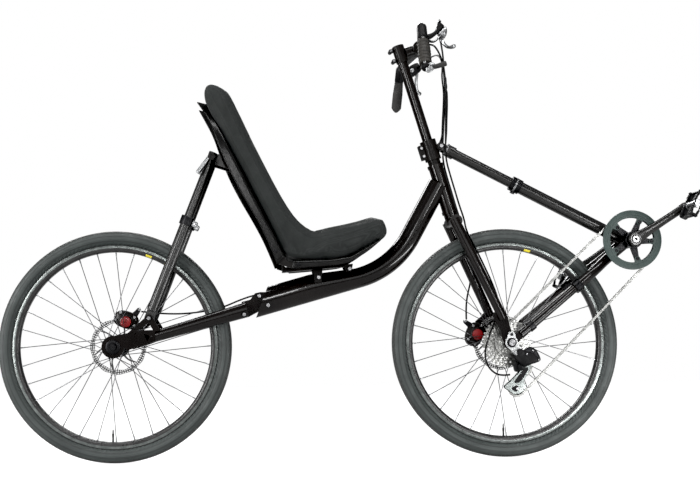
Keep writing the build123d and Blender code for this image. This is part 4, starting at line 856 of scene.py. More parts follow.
# %% Brake discs
def pierced_ring(centre, y, inner, outer, cells, hole, wave, waves):
    """Cells of a flat ring in rows.  A cell's edge point (s, t) in its own square is at the angle
    a + s·half and the radius m + t·half; the hole's points are at hole·(cos, sin) from its middle."""
    rows, count = cells
    turns = circle(16)
    reach = 1.0 / np.maximum(np.abs(np.cos(turns)), np.abs(np.sin(turns)))
    s, t = reach * np.cos(turns), reach * np.sin(turns)
    middle = inner + (outer - inner) * (np.arange(rows) + 0.5) / rows
    half = (outer - inner) / rows / 2
    a = 2 * math.pi * np.arange(count)[None, :, None, None] / count
    m = middle[:, None, None, None]
    blend = np.array((0.0, 0.5, 1.0))[None, None, :, None]
    edge_r, edge_a = m + t * half, a + s * math.pi / count
    hole_r, hole_a = m + hole * np.sin(turns), a + hole * np.cos(turns) / m
    r = edge_r + (hole_r - edge_r) * blend
    angle = edge_a + (hole_a - edge_a) * blend
    r = r + wave * np.cos(angle * waves) * np.clip((r - inner) / (outer - inner) * 2 - 1, -1, 1)
    return centre + around(r, angle, y)


def thicken(made, thickness):
    """Solidify: a sheet gets its thickness, in millimetres, evenly on both sides."""
    modifier = made.modifiers.new("thickness", "SOLIDIFY")
    modifier.thickness, modifier.offset = thickness / 1000, 0.0


rotor_y = 52.0
low, high = rotor_y - 0.9, rotor_y + 0.9
disc_arm = eased([(19, -7), (36, -9.5), (52, -7.5), (68, 2), (69, 6), (60, 2.5), (50, -3), (38, -5), (24, 0),
                  (18, 3)], 2, True)
carrier = [(10.2, low), (23.6, low), (24, rotor_y - 0.5), (24, rotor_y + 0.5), (23.6, high), (10.2, high),
           (10.2, low)]
button = [(0, 0), (3.0, 0), (3.0, 0.7), (2.5, 1), (1.4, 1), (1.2, 0.4), (0, 0.4)]
bolt_angles = 2 * math.pi * (np.arange(6) + 0.5) / 6
for end, axle in wheel_axles.items():
    track = pierced_ring(axle, rotor_y, inner=67.0, outer=79.0, cells=(2, 72), hole=1.75, wave=0.9, waves=12)
    made = piece(f"{end}_disc_track", f"{end}_wheel", disc_steel, track, stands_for=[f"{end}_rotor"],
                 slot="steel", close=False)
    thicken(made, high - low)
    arms = [cut_plate(spun(disc_arm, axle, 60 * k + 15), low, high, 0.3, 0) for k in range(6)]
    piece(f"{end}_disc_arms", f"{end}_wheel", disc_steel, *arms, turned(carrier, axle), slot="steel")
    foot = axle + around(18.5, bolt_angles, rotor_y + 0.8)
    piece(f"{end}_disc_bolts", f"{end}_wheel", bright_steel, bars(foot, foot + (0, 2.4, 0), button, 12),
          slot="steel", close=False)
print("track cells:", track.shape[:2])

# %% [markdown]
# Cogs and chainrings have the same teeth, spaced so that a chain of half-inch links lies in them.
# The tooth is a rounded bump that rises above the root circle once for every link, so a cog is
# nothing but a ring whose outer radius changes with the angle.

# %% Cogs
link_pitch, points_in_tooth = 12.7, 8
root_depth, tooth_height = 3.6, 2.0


def pitch_radius(teeth):
    """Radius at which the chain's pins lie: half a link over the sine of half a tooth's angle."""
    return link_pitch / 2 / math.sin(math.pi / teeth)


def toothed(centre, y, teeth, bore, thick=2.0, phase=0.0):
    """A ring whose outer radius is root + rise·bump(angle); bump is a clipped cosine, so that the
    teeth are narrower than the gaps where the rollers lie."""
    angle = circle(teeth * points_in_tooth)
    bump = np.clip(0.62 + 0.95 * np.cos(angle * teeth + phase), 0.0, 1.0)
    tip = pitch_radius(teeth) - root_depth + (tooth_height + root_depth) * bump
    root = np.minimum(tip, pitch_radius(teeth) - 4.0)
    bore = np.full_like(angle, bore)
    rows = [(bore, -0.45), (root, -0.5), (tip, -0.22), (tip, 0.22), (root, 0.5), (bore, 0.45), (bore, -0.45)]
    return np.stack([centre + around(r, angle, y + k * thick) for r, k in rows])


chain_y = -46.0
cog_teeth = (11, 13, 15, 18, 21, 24, 28, 34)
cog_gap = 4.8
engaged_cog = 3
cogs = []
for k, teeth in enumerate(cog_teeth):
    y = chain_y + (k - engaged_cog) * cog_gap
    on_arms = teeth >= 21
    cogs.append(toothed(front_axle, y, teeth, pitch_radius(teeth) - 11.0 if on_arms else 16.6, phase=k))
    if on_arms:
        reach = pitch_radius(teeth) - 10.0
        arm = [(15, -4), (reach, -6.5), (reach, 6.5), (15, 4)]
        cogs += [cut_plate(spun(arm, front_axle, 60 * j + 9 * k), y - 0.8, y + 0.8, 0.3, 1) for j in range(6)]
low, high = chain_y - 3 * cog_gap - 1.0, chain_y + 4 * cog_gap + 1.0
spacer = [(10.2, low), (15.0, low - 1.6), (16.2, low - 1.2), (16.2, high), (10.2, high), (10.2, low)]
piece("toothed_cogs", "front_wheel", cog_steel, *cogs, stands_for=["cassette"], slot="steel")
piece("cog_spacers", "front_wheel", black_anodised, turned(spacer, front_axle), slot="steel")
print("cog radii:", [round(pitch_radius(t), 1) for t in cog_teeth])

# %% [markdown]
# The crankset turns at the end of the boom.  A toothed chainring sits on five arms, and outside it
# a grey-green guard ring keeps the chain off the rider's leg.  The guard is a flat moulded hoop with
# rounded edges and five tabs for its bolts; a shallow groove runs round its face.

# %% Chainring, arms and guard
chainring_teeth = 38
crank_turn = 32.0
guard_outer, guard_inner, guard_y = 84.5, 63.5, -54.0
arm_angles = crank_turn + 36 + 72 * np.arange(5)
piece("toothed_chainring", "crankset", black_anodised, toothed(crank_axle, chain_y, chainring_teeth, 63.0),
      slot="rim_black")
arm = [(12, -11), (34, -9), (50, -7), (61, -6.5), (66, -3), (66, 3), (61, 6.5), (50, 7), (34, 9), (12, 11)]
arms = [cut_plate(spun(arm, crank_axle, a), guard_y + 2.2, chain_y + 1.0, 0.8, 1) for a in arm_angles]
boss = turned([(8.7, -70.6), (23.0, -70.6), (24.0, -69.6), (24.0, -50.0), (21.0, -45.4), (8.7, -45.0),
               (8.7, -70.6)], crank_axle)
piece("crank_spider", "crankset", black_anodised, *arms, boss, stands_for=["chainring"], slot="rim_black")
g, o = guard_inner, guard_outer
guard_outline = [(g, -1.0), (g + 0.8, -1.75), (g + 5, -1.75), (g + 5.6, -1.2), (g + 7.4, -1.2),
                 (g + 8, -1.75), (o - 1.4, -1.75), (o - 0.2, -1.0), (o, 0), (o - 0.2, 1.0), (o - 1.4, 1.75),
                 (g + 0.8, 1.75), (g, 1.0), (g, -1.0)]
hoop = turned([(r, guard_y + y) for r, y in guard_outline], crank_axle, 120)
tab = [(g + 3, -13), (g - 4, -9), (g - 13, -7), (g - 16, -3), (g - 16, 3), (g - 13, 7), (g - 4, 9),
       (g + 3, 13)]
tabs = [cut_plate(spun(tab, crank_axle, a), guard_y - 1.7, guard_y + 1.7, 0.6, 1) for a in arm_angles]
piece("guard_ring", "crankset", guard_plastic, hoop, *tabs, stands_for=["chain_guard"], slot="guard")
bolt_at = crank_axle + around(55, np.radians(arm_angles), guard_y - 1.6)
head = [(0, 0), (5.0, 0), (5.0, 0.75), (4.4, 1), (2.4, 1), (2.2, 0.3), (0, 0.3)]
piece("ring_bolts", "crankset", black_anodised, bars(bolt_at, bolt_at - (0, 2.2, 0), head, 14),
      slot="rim_black", close=False)
print("guard radii", guard_inner, guard_outer)

# %% [markdown]
# A crank arm is forged: wide and round at its axle, slim and slightly hollow-sided along its
# length, and round again at the pedal.  It is a closed outline in profile, thick as the forging, so
# it is cut like a plate with a wide, soft edge, and a bright bolt closes the axle's end.

# %% Crank arms
crank_length = 170.0
arm_outline = mirrored([(-19, 0), (-17, 11), (-9, 17.5), (4, 18.6), (20, 15.2), (48, 12.2), (100, 10.6),
                        (148, 10.6), (160, 12.6), (172, 13.4), (181, 9.5), (184, 0)])
arm_inside, arm_outside = 71.2, 84.8
arms = [cut_plate(spun(arm_outline, crank_axle, crank_turn + turn), *sideways(side, arm_inside, arm_outside),
                  3.2, 2) for side, turn in ((-1, 0), (1, 180))]
spindle = turned([(0, -70), (8.45, -70), (8.45, 70), (0, 70)], crank_axle, 24)
piece("crank_arms", "crankset", sleek_black, *arms, spindle, stands_for=["cranks"], slot="rim_black",
      angle=50)
cap = [(0, 0.2), (3.6, 0.2), (4.0, 1.6), (4.6, 2.2), (8.2, 2.2), (9.2, 1.2), (9.2, -2), (0, -2)]
washer = [(13.2, -0.4), (14.6, -0.4), (14.9, 0), (14.6, 0.4), (13.2, 0.4), (13.2, -0.4)]
for side, word in sides.items():
    piece(f"axle_bolt_{word}", "crankset", bright_steel,
          turned([(r, side * (84.2 + p)) for r, p in cap], crank_axle, 24), slot="steel", close=False)
    piece(f"axle_ring_{word}", "crankset", disc_steel,
          turned([(r, side * (84.6 + p)) for r, p in washer], crank_axle, 32), slot="steel")
print("crank arms end at", np.round(spun([(crank_length, 0)], crank_axle, crank_turn)[0], 1))

# %% [markdown]
# The pedals are cages: two toothed side plates joined by end bars, round a bright bearing barrel.
# The teeth are a saw-shaped row along the plate's outline, so the sole grips it.

# %% Pedals
pedal_tilt = 66.0
plate_inside, plate_outside = 99.0, 171.0
end_block = np.array([(18, -12.5), (31, -10.5), (35, -12), (39, -8), (39, 8), (35, 12), (31, 10.5),
                      (18, 12.5), (20, 6), (29, 4), (29, -4), (20, -6)])
sole = [(-36, -9), (-32, -11.8), (32, -11.8), (36, -9), (36, 9), (32, 11.8), (-32, 11.8), (-36, 9)]
waist = [(-36, -2.4), (-9, -4), (9, -4), (36, -2.4), (36, 2.4), (9, 4), (-9, 4), (-36, 2.4)]
barrel = [(0, 72.2), (6.9, 72.2), (6.9, 87), (8.6, 87.4), (8.6, 90), (7.6, 91), (10.9, 97), (10.9, 112),
          (9.6, 114), (9.6, 156), (10.9, 158), (10.9, 169), (8, 171), (0, 171)]
saw = np.stack((np.linspace(-31, 31, 15) * 0.85, np.where(np.arange(15) % 2, 9.6, 11.8)), -1)
saw = np.concatenate((saw, saw[::-1] * (1, 0) + (0, 7.6)))


def pedal_cage(centre, side):
    """Two toothed side plates, their end bars, the solid sole at the crank and the waist."""
    def cage_plate(outline, low, high, edge, rounds=0):
        return cut_plate(spun(outline, centre, pedal_tilt), *sideways(side, low, high), edge, rounds)

    grids = []
    for low, high in ((plate_inside, plate_inside + 4), (plate_outside - 4, plate_outside)):
        for flip in (-1, 1):
            grids.append(cage_plate(end_block * (flip, flip), low, high, 0.7))
            grids.append(cage_plate(saw * (1, flip), low, high, 0.5))
    for end in (-1, 1):
        bar = [(end * 34, -5.5), (end * 38.6, -5.5), (end * 38.6, 5.5), (end * 34, 5.5)]
        grids.append(cage_plate(bar, plate_inside, plate_outside, 1.2, 1))
    grids.append(cage_plate(sole, plate_inside + 4, plate_inside + 9, 1.0))
    grids.append(cage_plate(waist, plate_inside + 30, plate_outside - 30, 1.0, 1))
    return grids


for side, word in sides.items():
    centre = standing(spun([(side * -crank_length, 0)], crank_axle, crank_turn), 0.0)[0]
    piece(f"pedal_cage_{word}", f"pedal_{word}", black_plastic, *pedal_cage(centre, side),
          stands_for=[f"pedal_{word}_body"], slot="black_plastic")
    piece(f"pedal_barrel_{word}", f"pedal_{word}", brushed_alloy,
          turned([(r, side * p) for r, p in barrel], centre, 32), slot="steel", close=False, angle=30)
print("pedals ride on their own axles")

# %% [markdown]
# The chain's path is the loop round four circles: the chainring, the engaged cog and the two small
# guide wheels, one of which it passes on the other side.  The loop is a list of straight runs and
# arcs, so a pin's place along it is one interpolation.

# %% Chain path
guide_wheel, tension_wheel = beside(front_axle, 40.0, 0.0, -72.0), beside(front_axle, 20.6, 0.0, -128.5)
guide_teeth = 11
arc_points, run_points = 90, 60
stops = [(crank_axle, pitch_radius(chainring_teeth)), (front_axle, pitch_radius(cog_teeth[engaged_cog])),
         (guide_wheel, -pitch_radius(guide_teeth)), (tension_wheel, pitch_radius(guide_teeth))]


def touching(first, second):
    """Where the line from one circle to the next touches both; a negative radius passes on the right."""
    (c1, r1), (c2, r2) = first, second
    way = (c2 - c1)[[0, 2]]
    angle = math.atan2(way[1], way[0]) - math.asin((r2 - r1) / np.linalg.norm(way))
    normal = np.array((math.sin(angle), -math.cos(angle)))
    return c1[[0, 2]] + r1 * normal, c2[[0, 2]] + r2 * normal


next_stops = stops[1:] + stops[:1]
runs = [touching(here, ahead) for here, ahead in zip(stops, next_stops)]
loop = []
for (start, end), (leave, _), (centre, radius) in zip(runs, runs[1:] + runs[:1], next_stops):
    centre, way_round = centre[[0, 2]], math.copysign(1, radius)
    first, last = (math.atan2(*(spot - centre)[::-1]) for spot in (end, leave))
    sweep = (last - first) * way_round % (2 * math.pi) * way_round
    arc = first + sweep * np.linspace(0, 1, arc_points)
    bend = centre + abs(radius) * np.stack((np.cos(arc), np.sin(arc)), -1)
    loop += [np.linspace(start, end, run_points), bend]
loop = np.concatenate(loop + [loop[0][:1]])
steps_along = run_length(loop)
link_count = 2 * round(steps_along[-1] / link_pitch / 2)
pins_at = np.arange(link_count + 1) * steps_along[-1] / link_count
pins = np.stack([np.interp(pins_at, steps_along, loop[:, k]) for k in (0, 1)], -1)
print("chain of", link_count, "links over", round(steps_along[-1]), "mm")

# %% [markdown]
# A chain is rollers joined by pairs of plates, every second pair lying outside the first.  Every
# plate is a copy of one small waisted outline, put between two pins.  An Array modifier on a curve
# would do this too, but it bends the links; real ones stay straight.

# %% Links
plate_end, plate_waist = 0.29, 0.21


def link_plates(starts, ends, low, high):
    """Waisted plates from pin to pin: each outline point is middle + a·way + b·across."""
    turns = np.linspace(-0.5, 0.5, 5) * math.pi
    far = np.stack((0.5 + plate_end * np.cos(turns), plate_end * np.sin(turns)), -1)
    outline = np.concatenate((far, [(0.0, plate_waist)], -far, [(0.0, -plate_waist)], far[:1]))
    way = ends - starts
    across = np.stack((-way[:, 1], way[:, 0]), -1)
    flat = (starts + ends)[:, None] / 2 + outline[None, :, :1] * way[:, None]
    flat = flat + outline[None, :, 1:] * across[:, None]
    return np.stack([standing(flat, y) for y in (low, high)], 1)


plates = []
for side in sides:
    for first, near, far in ((0, 1.35, 2.15), (1, 2.2, 2.95)):
        low, high = sideways(side, near, far)
        plates.append(link_plates(pins[first:-1:2], pins[first + 1::2], chain_y + low, chain_y + high))
centres = standing(pins[:-1], chain_y)
rollers = bars(centres - (0, 1.3, 0), centres + (0, 1.3, 0), [(3.8, 0), (3.8, 1)], 8)
rivets = bars(centres - (0, 3.2, 0), centres + (0, 3.2, 0), [(1.6, 0), (1.6, 1)], 8)
piece("link_plates", "front_assembly", oiled_steel, *plates, stands_for=["chain"], slot="steel", angle=30)
piece("chain_rollers", "front_assembly", oiled_steel, rollers, rivets, slot="steel", angle=30)
print("plates:", sum(p.shape[0] for p in plates))

# %% [markdown]
# The derailleur hangs below the axle on a silver lug, and two knuckles and a pair of black links
# reach down to its cage.  These are small castings, so each is an outline cut with a broad soft edge.

# %% Derailleur
def low_plate(outline, low, high, edge):
    """A plate whose outline is measured from the front axle."""
    return cut_plate(np.asarray(outline, float) + front_axle[[0, 2]], low, high, edge)


lug = [(-18, -2), (-16, 8), (-11, 16), (-9, 27), (0, 32.5), (10, 27), (12, 16), (17, 8), (18, -4), (31, -20),
       (31, -34), (22, -39), (11, -38), (-6, -18), (-15, -11)]
piece("axle_lug", "front_assembly", lug_steel, low_plate(lug, -84.1, -80.1, 0.9),
      stands_for=["derailleur_body"], slot="steel")
ring = [(8.5, -84.6), (13.6, -84.6), (13.6, -83.9), (8.5, -83.9), (8.5, -84.6)]
piece("lug_ring", "front_assembly", black_anodised, turned(ring, front_axle, 32), slot="rim_black")
lug_hole = [(0, -84.5), (4.1, -84.5), (4.6, -84.1), (0, -84.1)]
piece("lug_stud", "front_assembly", black_anodised, turned(lug_hole, beside(front_axle, 0.5, 0, 22.5), 20),
      slot="rim_black", close=False)
upper = [(10, -30), (18, -30), (34, -18), (49, -10), (66, -20), (76, -40), (78, -50), (67, -56), (52, -58),
         (28, -66), (18, -56), (1, -43)]
side_link = [(52, -44), (76, -46), (67, -57), (52, -60), (35, -68), (28, -66), (18, -56), (30, -48)]
stop = [(7, -48), (24, -46), (36, -62), (32, -74), (13, -84), (8, -73)]
top_knuckle = [(0, -100.2), (5, -100.2), (5.6, -99), (10.4, -98.4), (10.9, -97), (10.9, -85.6), (9.5, -84.4),
               (0, -84.4)]
low_knuckle = [(0, -88), (9, -88), (10.8, -86.5), (10.8, -58), (9, -56.6), (0, -56.6)]
castings = [low_plate(upper, -98.0, -86.5, 3.0), low_plate(side_link, -92.0, -75.0, 2.6),
            low_plate(stop, -79.0, -58.6, 2.2), turned(top_knuckle, beside(front_axle, 20.6, 0, -28.0), 32),
            turned(low_knuckle, beside(front_axle, 27.0, 0, -67.0), 32)]
piece("derailleur_castings", "front_assembly", black_plastic, *castings, slot="black_plastic", angle=45)
badge = [(33, -23), (49, -14), (62, -21), (71, -38), (72, -46), (58, -31), (45, -26)]
piece("link_cover", "front_assembly", black_anodised, low_plate(badge, -99.0, -97.6, 0.6), slot="steel")
screws = np.array([beside(front_axle, x, -98.4, z) for x, z in ((38, -32), (71, -48), (55, -22))])
pan_head = [(0, 0), (2.9, 0), (2.9, 0.6), (2.2, 1), (1.0, 1), (0.9, 0.5), (0, 0.5)]
piece("link_screws", "front_assembly", bright_steel, bars(screws, screws - (0, 2.4, 0), pan_head, 12),
      slot="steel", close=False)
print("castings:", len(castings))

# %% [markdown]
# The cage's two plates hold the toothed guide wheels that steer and tension the chain.  The plates
# are cut from sheet, and the guide wheels are small cogs, so the helpers above make both.

# %% Cage and guide wheels
cage_outline = [(58, -62), (61, -70), (49, -91), (37, -111), (48, -121), (39, -134), (27, -143), (12, -146),
                (-3, -135), (-17, -125), (-10, -117), (2, -108), (18, -93), (34, -74), (47, -64)]
cages = [low_plate(cage_outline, chain_y + low, chain_y + low + 2.0, 0.5) for low in (-9.9, 7.9)]
piece("cage_plates", "front_assembly", cage_steel, *cages, stands_for=["derailleur_cage"], slot="steel")
# Painted shade: thin black sheets on the near cage plate's face make its hollow middle and its foot as dark
# as shade.
hollow = [(47, -68), (54, -72), (44, -89), (33, -107), (18, -115), (9, -111), (29, -86)]
foot = [(2, -125), (20, -119), (26, -127), (17, -140), (6, -133)]
painted_shade_faces = [low_plate(line, chain_y - 10.5, chain_y - 9.8, 0.3) for line in (hollow, foot)]
piece("cage_shade_panel", "front_assembly", black_plastic, *painted_shade_faces, slot="black_plastic")
barrel = [(3, -28), (13, -19), (24, -26), (22, -39), (9, -39)]
piece("spring_barrel", "front_assembly", brushed_alloy, low_plate(barrel, -97.6, -85.0, 2.4), slot="steel")
hub_line = [(4.1, -53.6), (8.8, -53.6), (8.8, -48.0), (12.0, -47.0), (12.0, -45.0), (8.8, -44.0),
            (8.8, -38.4), (4.1, -38.4), (4.1, -53.6)]
screw_line = [(0, -56.9), (1.6, -56.9), (1.8, -57.6), (3.4, -57.6), (4.0, -57.0), (4.0, -35.4), (0, -35.4)]
wheels, screws = [], []
for centre in (guide_wheel, tension_wheel):
    wheels += [toothed(centre, chain_y, guide_teeth, 4.2, 2.2), turned(hub_line, centre, 24)]
    screws.append(turned(screw_line, centre, 16))
piece("guide_wheels", "front_assembly", black_plastic, *wheels, stands_for=["jockey_wheels"],
      slot="black_plastic", angle=30)
piece("guide_screws", "front_assembly", bright_steel, *screws, slot="steel", close=False)
print("guide wheels at", np.round(guide_wheel), np.round(tension_wheel))

# %% [markdown]
# Four housings run on the bicycle: the gear housing from the right grip to the derailleur, the front
# brake's from the right lever, the rear brake's from the left lever, and the last run of the rear
# brake's along the stay.  Each is one smooth curve through the places that steer it: out of its
# lever, forward in an arc, down to the stem and on to its stop.
# A NURBS curve suits a housing, because it can't kink: it bends as gently as its points let it.

# %% Housings
def steer_route(rows):
    """Points given up the steering axis, forward of it and sideways."""
    return [on_steer(*row) for row in rows]


def route_from(datum, rows):
    """Points given from a datum, each at its own y."""
    return [beside(datum, *row) for row in rows]


blade_top, blade_end = on_steer(-163.2 + 6, -6, 52.0), beside(front_axle, -19.5, 73.0, 66.0)
blade_ahead = np.array((0.91, 0.0, 0.42))


def on_blade(share, forward, outward, side=1):
    """A point off a fork blade's axis, on the left for side 1 and on the right for -1."""
    spot = blade_top + (blade_end - blade_top) * share + forward * blade_ahead + (0.0, outward, 0.0)
    return spot * (1.0, side, 1.0)


routes = {
    "shift_cable":
        route_from(bar_middle, [(-6, -222, -46), (12, -178, -35), (30, -125, -31), (48, -72, -32),
                                (64, -40, -52)])
        + steer_route([(255, 101, -30), (205, 92, -25), (160, 79, -24.5), (120, 64.5, -25), (80, 51, -26),
                       (45, 38, -25.5), (8, 29, -25), (-35, 27.5, -25.5), (-80, 27, -25),
                       (-125, 26, -25.5), (-165, 27, -28)])
        + [on_blade(0.14, 19, -12, -1), on_blade(0.32, 18, -1, -1), on_blade(0.5, 17.5, 1, -1),
           on_blade(0.68, 17, -2, -1)]
        + route_from(front_axle, [(-27, -57, 113), (-34, -50, 76), (-52, -48, 26), (-69, -46, -24),
                                  (-64, -50, -62), (-44, -57, -86), (-20, -64, -92), (-2.5, -68, -89)]),
    "front_brake_cable":
        route_from(bar_middle, [(20, -228, -28), (34, -172, -27), (47, -112, -25), (60, -56, -28),
                                (68, -24, -50)])
        + steer_route([(250, 103, -4), (205, 95, 9), (160, 80, 18), (120, 65.5, 23), (80, 52, 25.5),
                       (45, 39, 25.5), (8, 30, 25), (-35, 28, 25.5), (-80, 27.5, 25),
                       (-125, 26.5, 25.5), (-165, 28, 28)])
        + [on_blade(0.14, 19, -12), on_blade(0.3, 17, 6), on_blade(0.44, 10, 16), on_blade(0.58, -2, 17.5)]
        + route_from(front_axle, [(-88, 84, 138), (-96, 68, 101), (-99, 50, 67.5)]),
    "lever_brake_cable":
        route_from(bar_middle, [(34, 227, 2), (48, 180, 9), (62, 120, 12), (70, 74, 3), (75, 42, -22),
                                (73, 26, -54)])
        + steer_route([(250, 101, 20), (205, 93, 20), (160, 79, 27), (120, 64, 30.5), (84, 52, 32),
                       (62, 33, 31), (38.6, 18.6, 30.5)]),
    "rear_brake_cable":
        route_from(rear_axle, [(66, 48, 99), (90, 43, 96), (127, 41, 92.5), (168, 42, 91), (210, 41, 93),
                               (254, 39, 99), (300, 36, 109), (342, 33, 127), (382, 33, 141),
                               (424, 33, 148), (462, 33.5, 154), (488, 29.4, 157)]),
}
housing_diameter = 0.005


def housing(name, points):
    """A NURBS curve with those control points and a round bevel, in metres."""
    curve = bpy.data.curves.new(name, "CURVE")
    curve.dimensions = "3D"
    line = curve.splines.new("NURBS")
    line.points.add(len(points) - 1)
    spots = (np.array(points) - rider_place) / 1000
    line.points.foreach_set("co", np.insert(spots, 3, 1.0, axis=1).astype(np.float32).ravel())
    line.order_u = 3
    line.use_endpoint_u = True
    line.resolution_u = 10
    curve.bevel_depth = housing_diameter / 2
    curve.bevel_resolution = 3
    curve.use_fill_caps = True
    return curve, spots


def points_of(mesh):
    """A mesh's points as rows of an array."""
    flat = np.zeros(len(mesh.vertices) * 3)
    mesh.vertices.foreach_get("co", flat)
    return flat.reshape(-1, 3)


def centre_line(curve):
    """The curve's own line as points in metres, read with no bevel."""
    bare = curve.copy()
    bare.bevel_depth = 0.0
    made = bpy.data.objects.new("bare_line", bare)
    bpy.context.scene.collection.objects.link(made)
    bpy.context.view_layer.update()
    mesh = bpy.data.meshes.new_from_object(made.evaluated_get(bpy.context.evaluated_depsgraph_get()))
    bpy.data.objects.remove(made)
    bpy.data.curves.remove(bare)
    return points_of(mesh)


lines = {}
for name, points in routes.items():
    curve, spots = housing(f"{name}_housing", points)
    lines[name] = centre_line(curve)
    measured = np.linalg.norm(np.diff(lines[name], axis=0), axis=1).sum()
    body = "frame" if name == "rear_brake_cable" else "front_assembly"
    made = finished(f"{name}_housing", curve, body, cable_skin, [name])
    print(name, "measures", round(measured, 3), "m")

# %% [markdown]
# The seat is a bucket: one long pad in a stretch cover, bent at the hips, on two moulded shells.
# The pad starts as copies of its side outline, set across the seat.  The outermost step in round a
# quarter circle, and the whole form is made slightly too small.

# %% The pad's form
def from_rider(points):
    """Outline points measured from the rider's place."""
    return np.asarray(points, float) + rider_place[[0, 2]]


def evenly(line, count, loop=False):
    """The same line with its points evenly spaced along its length."""
    line = np.concatenate((line, line[:1])) if loop else line
    run = run_length(line)
    at = np.linspace(0, run[-1], count + 1)[:-1] if loop else np.linspace(0, run[-1], count)
    return np.stack([np.interp(at, run, line[:, k]) for k in range(line.shape[1])], -1)


back_line = from_rider([(-305, 357), (-275, 294), (-246, 227), (-209, 157), (-188, 113), (-94, -73.5)])
seat_line = from_rider([(-75, -84), (26, -82), (82, -74), (166, -27.5)])
front_line = from_rider([(194, -9), (179, 33), (165, 37), (95, 15.5), (14, -0.5), (-12, -9), (-33, -4),
                         (-66, 22), (-104, 79.5), (-163, 195), (-224, 324), (-253, 384), (-270, 404),
                         (-302, 412), (-316, 394)])
pad_outline = evenly(eased(np.concatenate((back_line, seat_line, front_line)), 2, loop=True), 160, loop=True)


def pad_form(half_width, edge, start_inset):
    """Copies of the outline across the seat; near each side they step in by a quarter circle:
    inset = start + edge·(1 - sqrt(1 - u²)), where u runs from 0 to 1 over the last edge millimetres."""
    inner = half_width - edge
    turn = np.linspace(0, 0.5 * math.pi, 7)[:-1]
    outer_y = inner + edge * np.sin(turn)
    ys = np.concatenate((-outer_y[::-1], np.linspace(-inner, inner, 20)[1:-1], outer_y))
    u = np.clip((np.abs(ys) - inner) / edge, 0, 1)
    amounts = start_inset + edge * (1 - np.sqrt(1 - u * u))
    grid = np.stack([standing(inset(pad_outline, amount), y) for y, amount in zip(ys, amounts)])
    return np.concatenate((grid, grid[:, :1]), 1)


pad = piece("seat_cushion", "frame", seat_cloth, pad_form(half_width=126.0, edge=20.0, start_inset=1.5),
            stands_for=["seat_pad"], slot="pad")
print("pad form:", len(pad.data.polygons), "faces")

# %% [markdown]
# A pad can be left as such a rounded block, but it then looks like a block.  Real foam pushes its
# cover outward everywhere that the seams let it, so the form is remeshed evenly, given cloth that
# weighs nothing and blown up a little.  No point may move more than a few millimetres.

# %% Blow it up
frames = range(1, 21)


def swell(made, voxel, pressure, most):
    """Voxel remesh, then weightless cloth under pressure for twenty frames; each point keeps at most
    the given part of its way, in metres."""
    finish = made.data.materials[0]
    remesh = made.modifiers.new("remesh", "REMESH")
    remesh.mode, remesh.voxel_size, remesh.use_smooth_shade = "VOXEL", voxel, True
    even = bpy.data.meshes.new_from_object(made.evaluated_get(bpy.context.evaluated_depsgraph_get()))
    made.modifiers.clear()
    made.data = even
    rest = points_of(even)
    cloth = made.modifiers.new("cover", "CLOTH")
    cloth.settings.use_pressure = True
    cloth.settings.uniform_pressure_force = pressure
    cloth.settings.effector_weights.gravity = 0.0
    cloth.settings.quality = 5
    cloth.settings.mass = 0.3
    cloth.point_cache.frame_start, cloth.point_cache.frame_end = frames[0], frames[-1]
    for frame_number in frames:
        bpy.context.scene.frame_set(frame_number)
    blown = bpy.data.meshes.new_from_object(made.evaluated_get(bpy.context.evaluated_depsgraph_get()))
    moved = points_of(blown) - rest
    far = np.linalg.norm(moved, axis=1, keepdims=True)
    kept = rest + moved * np.minimum(1.0, most / np.maximum(far, 1e-9))
    made.modifiers.clear()
    even.vertices.foreach_set("co", kept.astype(np.float32).ravel())
    even.materials.clear()
    even.materials.append(finish)
    bpy.data.meshes.remove(blown)
    bpy.context.scene.frame_set(frames[0])
    return float(far.max())


pushed = swell(pad, voxel=0.006, pressure=4.0, most=0.007)
print("cover pushed out by up to", round(pushed * 1000, 1), "mm before the cap")

# %% [markdown]
# The shells are thin mouldings: a flat back whose two sides fold away from the pad into flanges.
# One grid makes each: its rows follow the pad's back, and each row runs from one flange's rim, round
# a small corner, across the flat, and back to the other rim.  Solidify gives the wall.

# %% Shells
shell_rows, corner_steps, narrow_share = 48, 6, 0.32


def moulding(front, rim, half, corner, taper):
    """Rows from rim to rim: y = ±half on the flanges and flat between, with a quarter-circle corner.
    The flanges close in by a share called taper over the first rows, as the square of what is left."""
    front, rim = evenly(front, shell_rows), evenly(rim, shell_rows)
    depth = rim - front
    foot = np.minimum(corner / np.linalg.norm(depth, axis=1), 0.9)[:, None]
    turn = np.linspace(0, math.pi / 2, corner_steps)
    in_share = foot * (1 - np.sin(turn))[None, :]
    side_y = half - corner * (1 - np.cos(turn))
    flange = 1.0 + (foot + 0.02 - 1.0) * np.linspace(0, 1, corner_steps)[None, :]
    shares = np.concatenate((flange, in_share, in_share[:, ::-1], flange[:, ::-1]), 1)
    rim_y = np.full(corner_steps, half)
    ys = np.concatenate((-rim_y, -side_y, side_y[::-1], rim_y))
    flat = front[:, None] + shares[..., None] * depth[:, None]
    left_over = np.clip(1 - np.linspace(0, 1, shell_rows) / narrow_share, 0, 1)[:, None]
    return np.stack((flat[..., 0], ys * (1 - taper * left_over**2), flat[..., 1]), -1)


def offset_line(line, amount):
    """An open line moved to its right by an amount."""
    way = unit(np.gradient(line, axis=0))
    return line + amount * np.stack((way[:, 1], -way[:, 0]), -1)


